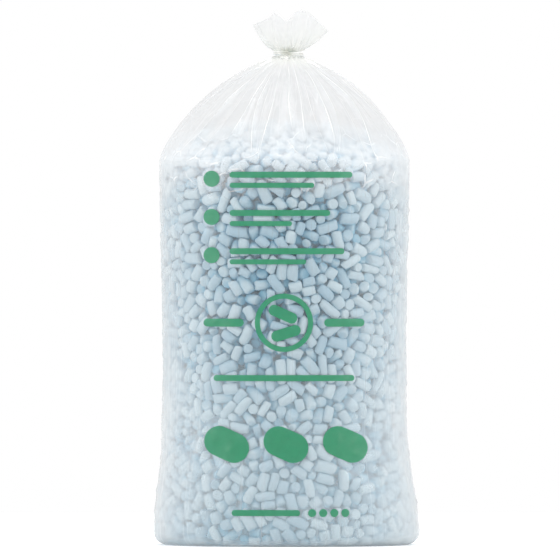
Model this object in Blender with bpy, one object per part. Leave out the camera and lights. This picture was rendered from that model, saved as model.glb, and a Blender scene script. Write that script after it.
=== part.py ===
"""Clear film sack of starch packing chips, gathered and tied at the neck.

Units are metres. +Z is up, the sack stands on the plane z = 0, and its printed side faces -Y.
"""

import math
import random

import bmesh
import bpy
import numpy as np
from mathutils import Matrix, Vector
from mathutils.bvhtree import BVHTree

# Sack, measured over the outside of the film
BODY_WIDTH = 0.676
BODY_DEPTH = 0.660
FOOT_WIDTH = 0.720  # the filled foot spreads sideways to the ends of its weld
FOOT_DEPTH = 0.650
FOOT_CORNER = 0.038  # radius of the rounded edge round the foot
FOOT_SPREAD_HEIGHT = 0.290  # above this the foot's spread has died out
WAIST_DIP = 0.008
SECTION_POWER = 2.15  # 2 is an ellipse in plan, and more is squarer
SHOULDER_HEIGHT = 1.035  # where the film leaves the chips
TENT_POWER = 1.42  # how full the slack film stands between shoulder and neck
FILM_WALL = 0.0006

# Neck and the loose film of the mouth above it
NECK_HEIGHT = 1.326
NECK_RADIUS = 0.036
NECK_OFFSET = 0.011  # the neck is drawn this far to +X
NECK_BULGE = 0.046  # radius that the folds swell to just above and below the tie
BULGE_GAP = 0.013  # height from the middle of the neck to that swelling
PLEATS = 18
PLEAT_DEPTH = 0.026  # depth of the gathers at the neck
PLEAT_REACH = 0.6  # under 1 the gathers stay deep further down towards the shoulder
MOUTH_WIDTH = 0.205
MOUTH_DEPTH = 0.164
MOUTH_SPREAD = 0.74  # under 1 the film opens mostly just above the tie
MOUTH_PLEAT = 0.011  # depth of the ruffles at the mouth's edge
# The mouth's edge, seen from the front: where each point lies across the width, from -1 to 1,
# and its height over the middle of the tie. It has a pointed lobe, a notch and a round lobe.
MOUTH_EDGE = [
    (-1.0, 0.074), (-0.70, 0.087), (-0.34, 0.117), (-0.02, 0.085), (0.18, 0.110),
    (0.37, 0.1165), (0.56, 0.110), (0.78, 0.086), (1.0, 0.064),
]

# Tie
CORD_RADIUS = 0.0026
TIE_TURNS = 2
TIE_CLEARANCE = 0.0003
KNOT_LENGTH = 0.024
KNOT_HEIGHT = 0.013
KNOT_DEPTH = 0.012

# Chips
CHIP_DIAMETER = 0.028
CHIP_LENGTH = 0.052
CHIP_LENGTH_SPREAD = 0.018  # from the shortest to the longest
CHIP_EDGE = 0.004  # bevel round a chip's ends
CHIP_SIDES = 6
CHIP_CLEARANCE = 0.0022  # between the film and the crests of the chips behind it
SEAT_GAP = 0.0003
CHIP_RELIEF = 0.017  # from a chip's crest down to the valley beside it
DOME_HEIGHT = 0.092  # how far the heap rises above the shoulder
DOME_POWER = 0.7  # 0.5 is an ellipsoid, and 1 is a flatter heap
HEAP_COLUMNS = 56  # a multiple of 4
HEAP_ROWS = 26
DRIFT = 0.5  # how far the chips stray from even rows and columns, in cells
JITTER = 0.2
END_ON_SHARE = 0.22
LOOSE_CHIPS = 34
LOOSE_SPREAD = 0.76  # share of the heap's top that carries loose chips

CORNER_STEPS = 3
BODY_STEPS = 5
TENT_STEPS = 7
MOUTH_STEPS = 4
SEED = 7


def clear_scene():
    for item in list(bpy.data.objects):
        bpy.data.objects.remove(item)


def make_material(name, colour, roughness, alpha=1.0):
    material = bpy.data.materials.new(name)
    material.use_nodes = True
    surface = material.node_tree.nodes["Principled BSDF"]
    surface.inputs["Base Color"].default_value = (*colour, 1.0)
    surface.inputs["Roughness"].default_value = roughness
    surface.inputs["Metallic"].default_value = 0.0
    surface.inputs["Alpha"].default_value = alpha
    material.diffuse_color = (*colour, alpha)
    return material


def mesh_from(name, shape, crease=None):
    """A mesh from a bmesh, which is freed. It is smooth, apart from edges sharper than the crease."""
    mesh = bpy.data.meshes.new(name)
    shape.to_mesh(mesh)
    shape.free()
    if crease is not None:
        mesh.shade_smooth()
        mesh.set_sharp_from_angle(angle=math.radians(crease))
    return mesh


def add_object(name, mesh, material):
    mesh.materials.append(material)
    piece = bpy.data.objects.new(name, mesh)
    bpy.context.scene.collection.objects.link(piece)
    return piece


def eased(share):
    share = min(max(share, 0.0), 1.0)
    return share * share * (3 - 2 * share)


def plan_point(half_width, half_depth, angle):
    """A point of the sack's outline in plan, which is a little squarer than an ellipse."""
    power = 2 / SECTION_POWER
    across, along = math.cos(angle), math.sin(angle)
    return (
        math.copysign(half_width * abs(across) ** power, across),
        math.copysign(half_depth * abs(along) ** power, along),
    )


def body_halves(height):
    """Half width and half depth of the filled sack at a height, its rounded foot included."""
    spread = 1 - eased((height - FOOT_CORNER) / (FOOT_SPREAD_HEIGHT - FOOT_CORNER))
    waist = WAIST_DIP * math.sin(math.pi * min(height / SHOULDER_HEIGHT, 1.0)) ** 2
    below = max(FOOT_CORNER - height, 0.0)
    corner = FOOT_CORNER - math.sqrt(max(FOOT_CORNER**2 - below**2, 0.0))
    half_width = (BODY_WIDTH + (FOOT_WIDTH - BODY_WIDTH) * spread) / 2
    half_depth = (BODY_DEPTH + (FOOT_DEPTH - BODY_DEPTH) * spread) / 2
    return half_width - waist - corner, half_depth - waist - corner


def body_rings():
    """Half width, half depth and height of each ring of film, from the foot up to the shoulder."""
    heights = [
        FOOT_CORNER * (1 - math.cos(math.pi / 2 * step / CORNER_STEPS))
        for step in range(CORNER_STEPS + 1)
    ]
    heights.append((FOOT_CORNER + FOOT_SPREAD_HEIGHT) / 2)
    for step in range(BODY_STEPS):
        share = step / (BODY_STEPS - 1)
        heights.append(FOOT_SPREAD_HEIGHT + (SHOULDER_HEIGHT - FOOT_SPREAD_HEIGHT) * share)
    return [(*body_halves(height), height) for height in heights]


def film_ring(shape, half_width, half_depth, height, pleat, offset, slack):
    """One closed ring of film, whose every second vertex lies in the valley of a gather."""
    ring = []
    for column in range(2 * PLEATS):
        x, y = plan_point(half_width, half_depth, math.pi * column / PLEATS)
        if column % 2:
            keep = 1 - pleat * slack[column] / math.hypot(x, y)
            x, y = x * keep, y * keep
        ring.append(shape.verts.new((x + offset, y, height)))
    return ring


def tent_ring(shape, share, slack):
    """One ring of the slack film between the shoulder and the neck."""
    half_width, half_depth = body_halves(SHOULDER_HEIGHT)
    turn = math.pi / 2 * share
    inward = max(math.cos(turn), 0.0) ** (2 / TENT_POWER)
    rise = math.sin(turn) ** (2 / TENT_POWER)
    return film_ring(
        shape,
        NECK_BULGE + (half_width - NECK_BULGE) * inward,
        NECK_BULGE + (half_depth - NECK_BULGE) * inward,
        SHOULDER_HEIGHT + (NECK_HEIGHT - BULGE_GAP - SHOULDER_HEIGHT) * rise,
        PLEAT_DEPTH * math.sin(turn) ** PLEAT_REACH,
        NECK_OFFSET * (1 - inward),
        slack,
    )


def mouth_ring(shape, share, slack):
    """One ring of the loose film above the tie, at that share of its height."""
    opened = share**MOUTH_SPREAD
    half_width = NECK_BULGE + (MOUTH_WIDTH / 2 - NECK_BULGE) * opened
    half_depth = NECK_BULGE + (MOUTH_DEPTH / 2 - NECK_BULGE) * opened
    pleat = PLEAT_DEPTH + (MOUTH_PLEAT - PLEAT_DEPTH) * share
    across, heights = zip(*MOUTH_EDGE)
    ring = []
    for column in range(2 * PLEATS):
        angle = math.pi * column / PLEATS
        x, y = half_width * math.cos(angle), half_depth * math.sin(angle)
        if column % 2:
            keep = 1 - pleat * slack[column] / math.hypot(x, y)
            x, y = x * keep, y * keep
        edge = float(np.interp(math.cos(angle), across, heights))
        height = NECK_HEIGHT + BULGE_GAP + (edge - BULGE_GAP) * share
        ring.append(shape.verts.new((x + NECK_OFFSET, y, height)))
    return ring


def tie_half_height():
    """Half the height of the straight stretch of neck, which the tie fills."""
    return TIE_TURNS * CORD_RADIUS + TIE_CLEARANCE


def make_film(material):
    """The sack: one sheet of film from the foot, over the shoulders, through the neck to the mouth."""
    rng = random.Random(SEED)
    slack = [rng.uniform(0.5, 1.0) for _ in range(2 * PLEATS)]
    shape = bmesh.new()
    rings = [film_ring(shape, *ring, 0.0, 0.0, slack) for ring in body_rings()]
    for step in range(1, TENT_STEPS + 1):
        rings.append(tent_ring(shape, step / TENT_STEPS, slack))
    for side in (-1, 1):
        height = NECK_HEIGHT + side * tie_half_height()
        rings.append(
            film_ring(shape, NECK_RADIUS, NECK_RADIUS, height, PLEAT_DEPTH, NECK_OFFSET, slack)
        )
    for step in range(MOUTH_STEPS + 1):
        rings.append(mouth_ring(shape, step / MOUTH_STEPS, slack))
    count = 2 * PLEATS
    middle = shape.verts.new((0, 0, 0))
    for column in range(count):
        shape.faces.new((middle, rings[0][(column + 1) % count], rings[0][column]))
    for low, high in zip(rings, rings[1:]):
        for column in range(count):
            after = (column + 1) % count
            shape.faces.new((low[column], low[after], high[after], high[column]))
    film = add_object("film_bag", mesh_from("film_bag", shape, 18), material)
    wall = film.modifiers.new("Wall", "SOLIDIFY")
    wall.thickness = FILM_WALL
    wall.offset = -1
    wall.use_even_offset = True
    return film


def wall_profile():
    """The heap's side as rows of height, half width, half depth and outward normal.

    It lies behind the film's own facets, so that the crests of the chips never meet the film.
    """
    corners = np.array(body_rings())
    steps = np.hypot(np.diff(corners[:, 0]), np.diff(corners[:, 2]))
    slopes = np.diff(corners[:, [0, 2]], axis=0) / steps[:, None]
    normals = np.stack([slopes[:, 1], -slopes[:, 0]], axis=1)
    at_corners = np.vstack([normals[:1], (normals[:-1] + normals[1:]) / 2, normals[-1:]])
    at_corners /= np.linalg.norm(at_corners, axis=1)[:, None]
    facet_sag = FOOT_WIDTH / 2 * (1 - math.cos(math.pi / (2 * PLEATS)))
    back = FILM_WALL + CHIP_CLEARANCE + facet_sag
    return {
        "reach": np.concatenate([[0.0], np.cumsum(steps)]),
        "half_width": corners[:, 0] - back * at_corners[:, 0],
        "half_depth": corners[:, 1] - back * at_corners[:, 0],
        "height": corners[:, 2] - back * at_corners[:, 1],
        "outward": at_corners[:, 0],
        "upward": at_corners[:, 1],
    }


def drifted(row, column):
    """Where a point of the side's even grid goes, so that the chips lie at many angles and not in courses."""
    fade = DRIFT * math.sin(math.pi * row / HEAP_ROWS)
    turn = 2 * math.pi * column / HEAP_COLUMNS
    climb = 2 * math.pi * row / HEAP_ROWS
    return (
        row + fade * (math.sin(5 * turn + climb) + math.sin(3 * turn - climb + 1)),
        column + fade * (math.sin(turn + 3 * climb + 2) + math.sin(turn - 2 * climb)),
    )


def wall_point(profile, row, column, depth):
    """A point on the heap's side, depth below the crest of its chips."""
    row, column = drifted(row, column)
    reach = profile["reach"][-1] * row / HEAP_ROWS
    found = {
        key: float(np.interp(reach, profile["reach"], profile[key]))
        for key in ("half_width", "half_depth", "height", "outward", "upward")
    }
    inward = depth * found["outward"]
    angle = 2 * math.pi * column / HEAP_COLUMNS
    x, y = plan_point(found["half_width"] - inward, found["half_depth"] - inward, angle)
    return Vector((x, y, found["height"] - depth * found["upward"]))


def dome_point(profile, across, along, depth):
    """A point on the heap's top, on a square grid that is drawn out to the heap's outline."""
    side = HEAP_COLUMNS // 4
    g, h = (
        math.sqrt(2) * math.sin(math.pi / 2 * (place / side - 0.5)) for place in (across, along)
    )
    x, y = g * math.sqrt(1 - h * h / 2), h * math.sqrt(1 - g * g / 2)
    out = min(math.hypot(x, y), 1.0)
    half_width, half_depth = profile["half_width"][-1], profile["half_depth"][-1]
    x, y = plan_point(half_width * out, half_depth * out, math.atan2(y, x))
    rise = DOME_HEIGHT * max(1 - out * out, 0.0) ** DOME_POWER
    return Vector((x, y, profile["height"][-1] + rise - depth))


def pair_cells(rows, columns, wraps, rng):
    """Lays a grid of cells with chips two cells long, then turns pairs of them round at random.

    Each entry is one chip: its lower left cell, and whether it lies along the row (0, 1), stands
    across it (1, 0), or faces out and fills one cell (0, 0).
    """
    mate = {}
    for row in range(rows):
        for column in range(0, columns, 2):
            mate[row, column] = (row, column + 1)
            mate[row, column + 1] = (row, column)
    for _ in range(12 * rows * columns):
        row = rng.randrange(rows - 1)
        column = rng.randrange(columns if wraps else columns - 1)
        right = (column + 1) % columns
        a, b, c, d = (row, column), (row, right), (row + 1, column), (row + 1, right)
        if mate[a] == b and mate[c] == d:
            mate[a], mate[c], mate[b], mate[d] = c, a, d, b
        elif mate[a] == c and mate[b] == d:
            mate[a], mate[b], mate[c], mate[d] = b, a, d, c
    chips = []
    for row, column in sorted(mate):
        other = mate[row, column]
        if other in ((row, (column - 1) % columns), (row - 1, column)):
            continue
        if rng.random() < END_ON_SHARE:
            chips += [((row, column), (0, 0)), (other, (0, 0))]
        else:
            chips.append(((row, column), (0, 1) if other[0] == row else (1, 0)))
    return chips


def add_chip_relief(shape, corner, crest, cell, along):
    """One chip of the heap's skin: a hipped ridge over two cells, or a boss over one."""
    row, column = cell
    if along == (0, 0):
        loop = [(row, column), (row, column + 1), (row + 1, column + 1), (row + 1, column)]
        top = crest(row + 0.5, column + 0.5)
        for a, b in zip(loop, loop[1:] + loop[:1]):
            shape.faces.new((corner(*a), corner(*b), top))
        return
    if along == (0, 1):
        ends = [(row, column), (row, column + 2), (row + 1, column + 2), (row + 1, column)]
        middles = [(row, column + 1), (row + 1, column + 1)]
        near, far = (row + 0.5, column + 0.4), (row + 0.5, column + 1.6)
    else:
        ends = [(row, column + 1), (row + 2, column + 1), (row + 2, column), (row, column)]
        middles = [(row + 1, column + 1), (row + 1, column)]
        near, far = (row + 0.4, column + 0.5), (row + 1.6, column + 0.5)
    a, b, c, d = (corner(*place) for place in ends)
    right, left = (corner(*place) for place in middles)
    low, high = crest(*near), crest(*far)
    shape.faces.new((a, right, low))
    shape.faces.new((right, high, low))
    shape.faces.new((right, b, high))
    shape.faces.new((b, c, high))
    shape.faces.new((c, left, high))
    shape.faces.new((left, low, high))
    shape.faces.new((left, d, low))
    shape.faces.new((d, a, low))


def make_heap(material):
    """The sackful of chips as one body, with each chip that lies against the film raised from it."""
    rng = random.Random(SEED)
    profile = wall_profile()
    shape = bmesh.new()
    side = HEAP_COLUMNS // 4
    floor = FILM_WALL + SEAT_GAP
    corners = {}

    def shifted(place):
        return place + rng.uniform(-JITTER, JITTER)

    def wall_corner(row, column):
        key = ("wall", row, column % HEAP_COLUMNS)
        if key not in corners:
            where = (shifted(row), shifted(column)) if 0 < row < HEAP_ROWS else (row, column)
            depth = CHIP_RELIEF * rng.uniform(0.75, 1.0) if row else 0.0
            point = wall_point(profile, *where, depth)
            point.z = max(point.z, floor) if row else floor
            corners[key] = shape.verts.new(point)
        return corners[key]

    def wall_crest(row, column):
        point = wall_point(profile, row, column, CHIP_RELIEF * rng.uniform(0.0, 0.2))
        point.z = max(point.z, floor)
        return shape.verts.new(point)

    def dome_corner(row, column):
        if column == side:
            return wall_corner(HEAP_ROWS, row - side // 2)
        if row == side:
            return wall_corner(HEAP_ROWS, side // 2 + side - column)
        if column == 0:
            return wall_corner(HEAP_ROWS, side // 2 + 2 * side - row)
        if row == 0:
            return wall_corner(HEAP_ROWS, side // 2 + 2 * side + column)
        key = ("dome", row, column)
        if key not in corners:
            depth = CHIP_RELIEF * rng.uniform(0.75, 1.0)
            point = dome_point(profile, shifted(column), shifted(row), depth)
            corners[key] = shape.verts.new(point)
        return corners[key]

    def dome_crest(row, column):
        depth = CHIP_RELIEF * rng.uniform(0.0, 0.2)
        return shape.verts.new(dome_point(profile, column, row, depth))

    for cell, along in pair_cells(HEAP_ROWS, HEAP_COLUMNS, True, rng):
        add_chip_relief(shape, wall_corner, wall_crest, cell, along)
    for cell, along in pair_cells(side, side, False, rng):
        add_chip_relief(shape, dome_corner, dome_crest, cell, along)
    shape.faces.new([wall_corner(0, -column) for column in range(HEAP_COLUMNS)])
    for face in shape.faces:
        face.smooth = True
    for edge in shape.edges:
        edge.smooth = edge.is_convex
    return add_object("chip_fill", mesh_from("chip_fill", shape), material), profile


def chip_mesh(name, length):
    """One starch chip: a foamed rod along X, cut to length, with its ends rounded over."""
    shape = bmesh.new()
    radius = CHIP_DIAMETER / 2
    bmesh.ops.create_cone(
        shape, cap_ends=True, segments=CHIP_SIDES, radius1=radius, radius2=radius, depth=length
    )
    rims = [edge for edge in shape.edges if edge.verts[0].co.z * edge.verts[1].co.z > 0]
    bmesh.ops.bevel(shape, geom=rims, offset=CHIP_EDGE, segments=1, affect="EDGES", profile=0.5)
    bmesh.ops.rotate(shape, verts=shape.verts, matrix=Matrix.Rotation(math.pi / 2, 3, "Y"))
    return mesh_from(name, shape, 50)


def placed_lines(mesh, place):
    """The two ends of each edge of a mesh, as arrays, once it is placed."""
    points = np.array([place @ vertex.co for vertex in mesh.vertices])
    edges = np.array([edge.vertices[:] for edge in mesh.edges])
    return points[edges[:, 0]], points[edges[:, 1]]


def least_edge_fall(above, below):
    """The least drop from any upper edge to a lower edge that it crosses in plan."""
    a, b = (end[:, None, :] for end in above)
    c, d = (end[None, :, :] for end in below)
    u, v, w = b - a, d - c, c - a
    cross = u[..., 0] * v[..., 1] - u[..., 1] * v[..., 0]
    cross = np.where(np.abs(cross) < 1e-15, np.nan, cross)
    s = (w[..., 0] * v[..., 1] - w[..., 1] * v[..., 0]) / cross
    t = (w[..., 0] * u[..., 1] - w[..., 1] * u[..., 0]) / cross
    fall = (a[..., 2] + s * u[..., 2]) - (c[..., 2] + t * v[..., 2])
    meets = (s >= 0) & (s <= 1) & (t >= 0) & (t <= 1)
    return float(np.min(fall[meets])) if meets.any() else math.inf


def least_corner_fall(mesh, place, others):
    """The least drop between a corner of either body and the other body's faces."""
    points = [place @ vertex.co for vertex in mesh.vertices]
    faces = [face.vertices[:] for face in mesh.polygons]
    own_tree = BVHTree.FromPolygons(points, faces)
    falls = [math.inf]
    for other, other_place in others:
        other_points = [other_place @ vertex.co for vertex in other.vertices]
        tree = BVHTree.FromPolygons(other_points, [face.vertices[:] for face in other.polygons])
        falls += [tree.ray_cast(point, Vector((0, 0, -1)))[3] for point in points]
        falls += [own_tree.ray_cast(point, Vector((0, 0, 1)))[3] for point in other_points]
    return min(fall for fall in falls if fall is not None)


def drop_chip(mesh, place, others):
    """The place at which a chip rests when it sinks straight down onto the others."""
    lines = placed_lines(mesh, place)
    falls = [least_edge_fall(lines, placed_lines(*other)) for other in others]
    fall = min(least_corner_fall(mesh, place, others), *falls) - SEAT_GAP
    return Matrix.Translation((0, 0, -fall)) @ place


def make_loose_chips(heap, profile, material):
    """Chips that lie free on the heap's top, spread by the golden angle and dropped into place."""
    golden = math.pi * (3 - math.sqrt(5))
    rng = random.Random(SEED)
    half_width, half_depth = profile["half_width"][-1], profile["half_depth"][-1]
    settled = [(heap.data, Matrix.Identity(4))]
    for number in range(LOOSE_CHIPS):
        out = LOOSE_SPREAD * math.sqrt((number + 0.5) / LOOSE_CHIPS)
        x = half_width * out * math.cos(number * golden)
        y = half_depth * out * math.sin(number * golden)
        rise = 2 * DOME_HEIGHT * DOME_POWER * (1 - out * out) ** (DOME_POWER - 1)
        normal = Vector((rise * x / half_width**2, rise * y / half_depth**2, 1)).normalized()
        tilt = Vector((0, 0, 1)).rotation_difference(normal).to_matrix().to_4x4()
        turn = Matrix.Rotation(rng.uniform(0, math.pi), 4, "Z")
        name = f"chip_{number + 1:02d}"
        length = CHIP_LENGTH + CHIP_LENGTH_SPREAD * rng.uniform(-0.5, 0.5)
        mesh = chip_mesh(name, length)
        start = Matrix.Translation((x, y, NECK_HEIGHT)) @ tilt @ turn
        chip = add_object(name, mesh, material)
        chip.matrix_world = drop_chip(mesh, start, settled)
        settled.append((mesh, chip.matrix_world.copy()))


def make_tie(material):
    """The tie: turns of soft white cord drawn tight round the neck, with their knot in front."""
    inner = NECK_RADIUS + TIE_CLEARANCE
    half = TIE_TURNS * CORD_RADIUS
    outline = [(inner, -0.8 * half), (inner + 1.1 * CORD_RADIUS, -half)]
    for turn in range(TIE_TURNS):
        middle = CORD_RADIUS * (2 * turn + 1) - half
        outline.append((inner + 2 * CORD_RADIUS, middle))
        if turn < TIE_TURNS - 1:
            outline.append((inner + 1.3 * CORD_RADIUS, middle + CORD_RADIUS))
    outline += [(inner + 1.1 * CORD_RADIUS, half), (inner, 0.8 * half)]
    shape = bmesh.new()
    rings = []
    for step in range(PLEATS):
        ring = []
        for radius, height in outline:
            x, y = plan_point(radius, radius, 2 * math.pi * step / PLEATS)
            ring.append(shape.verts.new((x + NECK_OFFSET, y, NECK_HEIGHT + height)))
        rings.append(ring)
    for ring, after in zip(rings, rings[1:] + rings[:1]):
        for place in range(len(outline)):
            beyond = (place + 1) % len(outline)
            shape.faces.new((ring[place], after[place], after[beyond], ring[beyond]))
    bmesh.ops.recalc_face_normals(shape, faces=shape.faces)
    tie = add_object("neck_tie", mesh_from("neck_tie", shape, 60), material)

    knot_shape = bmesh.new()
    bmesh.ops.create_uvsphere(knot_shape, u_segments=8, v_segments=5, radius=0.5)
    size = Matrix.Diagonal((KNOT_LENGTH, KNOT_DEPTH, KNOT_HEIGHT, 1))
    front = -(inner + CORD_RADIUS + KNOT_DEPTH / 3)
    place = Matrix.Translation((NECK_OFFSET, front, NECK_HEIGHT))
    bmesh.ops.transform(knot_shape, matrix=place @ size, verts=knot_shape.verts)
    knot = add_object("knot", mesh_from("knot", knot_shape, 60), material)
    knot.hide_render = True
    knot.display_type = "WIRE"
    joined = tie.modifiers.new("Knot", "BOOLEAN")
    joined.operation = "UNION"
    joined.object = knot


def main():
    clear_scene()
    make_film(make_material("clear_film", (0.93, 0.95, 0.96), 0.18, alpha=0.28))
    starch = make_material("starch_foam", (0.67, 0.76, 0.82), 0.85)
    heap, profile = make_heap(starch)
    make_loose_chips(heap, profile, starch)
    make_tie(make_material("white_cord", (0.86, 0.86, 0.82), 0.6))


main()
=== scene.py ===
import math
import random
import time

import bmesh
import bpy
import numpy as np
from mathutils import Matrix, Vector
from mathutils.bvhtree import BVHTree


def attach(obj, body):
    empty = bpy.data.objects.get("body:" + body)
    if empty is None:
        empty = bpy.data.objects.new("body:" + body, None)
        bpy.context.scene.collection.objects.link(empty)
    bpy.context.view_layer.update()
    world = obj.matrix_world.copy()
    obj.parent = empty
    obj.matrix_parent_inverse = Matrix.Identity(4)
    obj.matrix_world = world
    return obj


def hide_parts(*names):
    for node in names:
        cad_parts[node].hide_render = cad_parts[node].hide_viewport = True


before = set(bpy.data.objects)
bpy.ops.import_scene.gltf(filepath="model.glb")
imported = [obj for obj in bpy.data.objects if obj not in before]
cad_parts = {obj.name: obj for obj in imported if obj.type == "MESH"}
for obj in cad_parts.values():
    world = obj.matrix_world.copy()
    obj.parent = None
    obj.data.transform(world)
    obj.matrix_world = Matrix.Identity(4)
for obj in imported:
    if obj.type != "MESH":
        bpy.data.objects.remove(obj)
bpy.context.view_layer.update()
startTime = time.time()


def report(stage):
    print(f"{time.time() - startTime:6.1f} s  {stage}")


# small tools

def deselectAll():
    for item in bpy.context.selected_objects:
        item.select_set(False)


def makeActive(piece):
    deselectAll()
    piece.select_set(True)
    bpy.context.view_layer.objects.active = piece


def editMode():
    bpy.ops.object.mode_set(mode="EDIT")


def objectMode():
    bpy.ops.object.mode_set(mode="OBJECT")


def selectWhole():
    bpy.ops.mesh.select_all(action="SELECT")


def pick(piece, kind, test):
    # in edit mode: selects the parts of one kind whose place or normal passes the test
    bpy.context.tool_settings.mesh_select_mode = (kind == "verts", kind == "edges", kind == "faces")
    bpy.ops.mesh.select_all(action="DESELECT")
    shape = bmesh.from_edit_mesh(piece.data)
    for part in getattr(shape, kind):
        if test(part):
            part.select_set(True)
    shape.select_flush_mode()
    bmesh.update_edit_mesh(piece.data)


def joinPieces(pieces, name):
    makeActive(pieces[0])
    for piece in pieces:
        piece.select_set(True)
    bpy.ops.object.join()
    joined = bpy.context.object
    joined.name = joined.data.name = name
    return joined


def meshPiece(name, points, faces):
    mesh = bpy.data.meshes.new(name)
    mesh.from_pydata([tuple(p) for p in points], [], [tuple(f) for f in faces])
    mesh.validate()
    mesh.shade_smooth()
    return linkPiece(name, mesh)


def linkPiece(name, mesh):
    piece = bpy.data.objects.new(name, mesh)
    bpy.context.scene.collection.objects.link(piece)
    return piece


def ringFaces(rows, columns):
    # the faces between closed rings of points
    faces = []
    for low in range(0, (rows - 1) * columns, columns):
        high = low + columns
        for j in range(columns):
            after = (j + 1) % columns
            faces.append((low + j, low + after, high + after, high + j))
    return faces


def finishPiece(piece, material, slotName, *nodes):
    piece.data.materials.clear()
    piece.data.materials.append(material)
    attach(piece, "root")
    if nodes:
        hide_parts(*nodes)


def pointAttributes(mesh, **named):
    # one value for each point, or one for all of them
    for name, values in named.items():
        attribute = mesh.attributes.new(name, "FLOAT", "POINT")
        attribute.data.foreach_set("value", np.full(len(mesh.vertices), np.ravel(values), np.float32))


def eased(share):
    share = np.clip(share, 0.0, 1.0)
    return share * share * (3 - 2 * share)


def rising(value, start, reach):
    # 0 up to the start, and 1 from this reach beyond it
    return eased((value - start) / reach)


# node tools: a new node goes into the tree of the sockets that it reads

def isSocket(value):
    return isinstance(value, bpy.types.NodeSocket)


def setInputs(node, **values):
    # a socket gets a link, or a value of its own
    for key, value in values.items():
        feed(node.inputs[key.replace("_", " ")], value)
    return node


def feed(socket, value):
    if isSocket(value):
        socket.id_data.links.new(value, socket)
    elif socket.type == "RGBA":
        socket.default_value = (*value, 1.0)
    else:
        socket.default_value = value


def addNode(tree, kind, **settings):
    node = tree.nodes.new(f"ShaderNode{kind}")
    for key, value in settings.items():
        setattr(node, key, value)
    return node


def newMaterial(name):
    material = bpy.data.materials.new(name)
    material.use_nodes = True
    return material, material.node_tree, material.node_tree.nodes["Principled BSDF"]


def objectCoords(tree):
    return addNode(tree, "TexCoord").outputs["Object"]


def readAttributes(tree, *names):
    return [addNode(tree, "Attribute", attribute_name=name).outputs["Fac"] for name in names]


def maths(operation, *values, clamp=False):
    tree = next(value for value in values if isSocket(value)).id_data
    node = addNode(tree, "Math", operation=operation, use_clamp=clamp)
    for socket, value in zip(node.inputs, values):
        feed(socket, value)
    return node.outputs[0]


def times(first, second, clamp=False):
    return maths("MULTIPLY", first, second, clamp=clamp)


def timesPlus(first, second, third, clamp=False):
    return maths("MULTIPLY_ADD", first, second, third, clamp=clamp)


def minus(first, second, clamp=False):
    return maths("SUBTRACT", first, second, clamp=clamp)


def most(first, second):
    return maths("MAXIMUM", first, second)


def inverse(value, clamp=False):
    return minus(1.0, value, clamp=clamp)


def ramp(source, *stops):
    node = addNode(source.id_data, "ValToRGB")
    while len(node.color_ramp.elements) < len(stops):
        node.color_ramp.elements.new(0.5)
    for element, (place, colour) in zip(node.color_ramp.elements, stops):
        element.position = place
        element.color = (*colour, 1.0)
    return setInputs(node, Fac=source).outputs["Color"]


def mixColours(factor, first, second):
    node = addNode(factor.id_data, "Mix", data_type="RGBA")
    return setInputs(node, Factor=factor, A=first, B=second).outputs["Result"]


def noise(vector, scale, detail, roughness=0.5, dimensions="3D", output="Fac"):
    node = addNode(vector.id_data, "TexNoise", noise_dimensions=dimensions)
    return setInputs(node, Vector=vector, Scale=scale, Detail=detail, Roughness=roughness).outputs[output]


def mapped(vector, **values):
    return setInputs(addNode(vector.id_data, "Mapping"), Vector=vector, **values).outputs["Vector"]


def makeGrainGroup():
    # grain that the foam, the cord and the ink share: a mottled value, and the bump that belongs to it
    group = bpy.data.node_groups.new("fineGrain", "ShaderNodeTree")
    group.interface.new_socket("Vector", in_out="INPUT", socket_type="NodeSocketVector")
    for name, value in (("Scale", 100.0), ("Detail", 3.0), ("Strength", 0.3), ("Distance", 0.001)):
        socket = group.interface.new_socket(name, in_out="INPUT", socket_type="NodeSocketFloat")
        socket.default_value = value
    group.interface.new_socket("Grain", in_out="OUTPUT", socket_type="NodeSocketFloat")
    group.interface.new_socket("Normal", in_out="OUTPUT", socket_type="NodeSocketVector")
    given = group.nodes.new("NodeGroupInput").outputs
    grain = noise(given["Vector"], given["Scale"], given["Detail"], 0.6)
    bump = addNode(group, "Bump")
    setInputs(bump, Strength=given["Strength"], Distance=given["Distance"], Height=grain)
    setInputs(group.nodes.new("NodeGroupOutput"), Grain=grain, Normal=bump.outputs["Normal"])
    return group


grainGroup = makeGrainGroup()


def addGrain(surface, vector, **values):
    # puts the shared grain into a material and returns its mottled value
    grain = addNode(surface.id_data, "Group", node_tree=grainGroup)
    setInputs(grain, Vector=vector, **values)
    setInputs(surface, Normal=grain.outputs["Normal"])
    return grain.outputs["Grain"]


# sack shape, after the part's own values

sack = {
    "bodyWidth": 0.676, "bodyDepth": 0.660, "footWidth": 0.720, "footDepth": 0.650,
    "footCorner": 0.038, "footSpreadHeight": 0.290, "footShift": 0.0060, "waistDip": 0.008,
    "sectionPower": 2.15, "shoulderHeight": 1.035, "tentPower": 1.42,
    "neckHeight": 1.326, "neckRadius": 0.036, "neckOffset": 0.011,
    "neckBulge": 0.046, "bulgeGap": 0.013, "tieHalf": 0.0055,
    "domeHeight": 0.092, "domePower": 0.7, "domeGap": 0.004,
}
shoulderLevel = np.array(sack["shoulderHeight"])


def bodyHalves(height):
    # half width and half depth of the filled sack, its rounded foot included
    corner = sack["footCorner"]
    spread = 1 - eased((height - corner) / (sack["footSpreadHeight"] - corner))
    waist = sack["waistDip"] * np.sin(np.pi * np.clip(height / sack["shoulderHeight"], 0, 1)) ** 2
    below = np.clip(corner - height, 0.0, corner)
    cut = corner - np.sqrt(np.maximum(corner**2 - below**2, 0.0))
    halfWidth = (sack["bodyWidth"] + (sack["footWidth"] - sack["bodyWidth"]) * spread) / 2
    halfDepth = (sack["bodyDepth"] + (sack["footDepth"] - sack["bodyDepth"]) * spread) / 2
    return halfWidth - waist - cut, halfDepth - waist - cut


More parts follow.
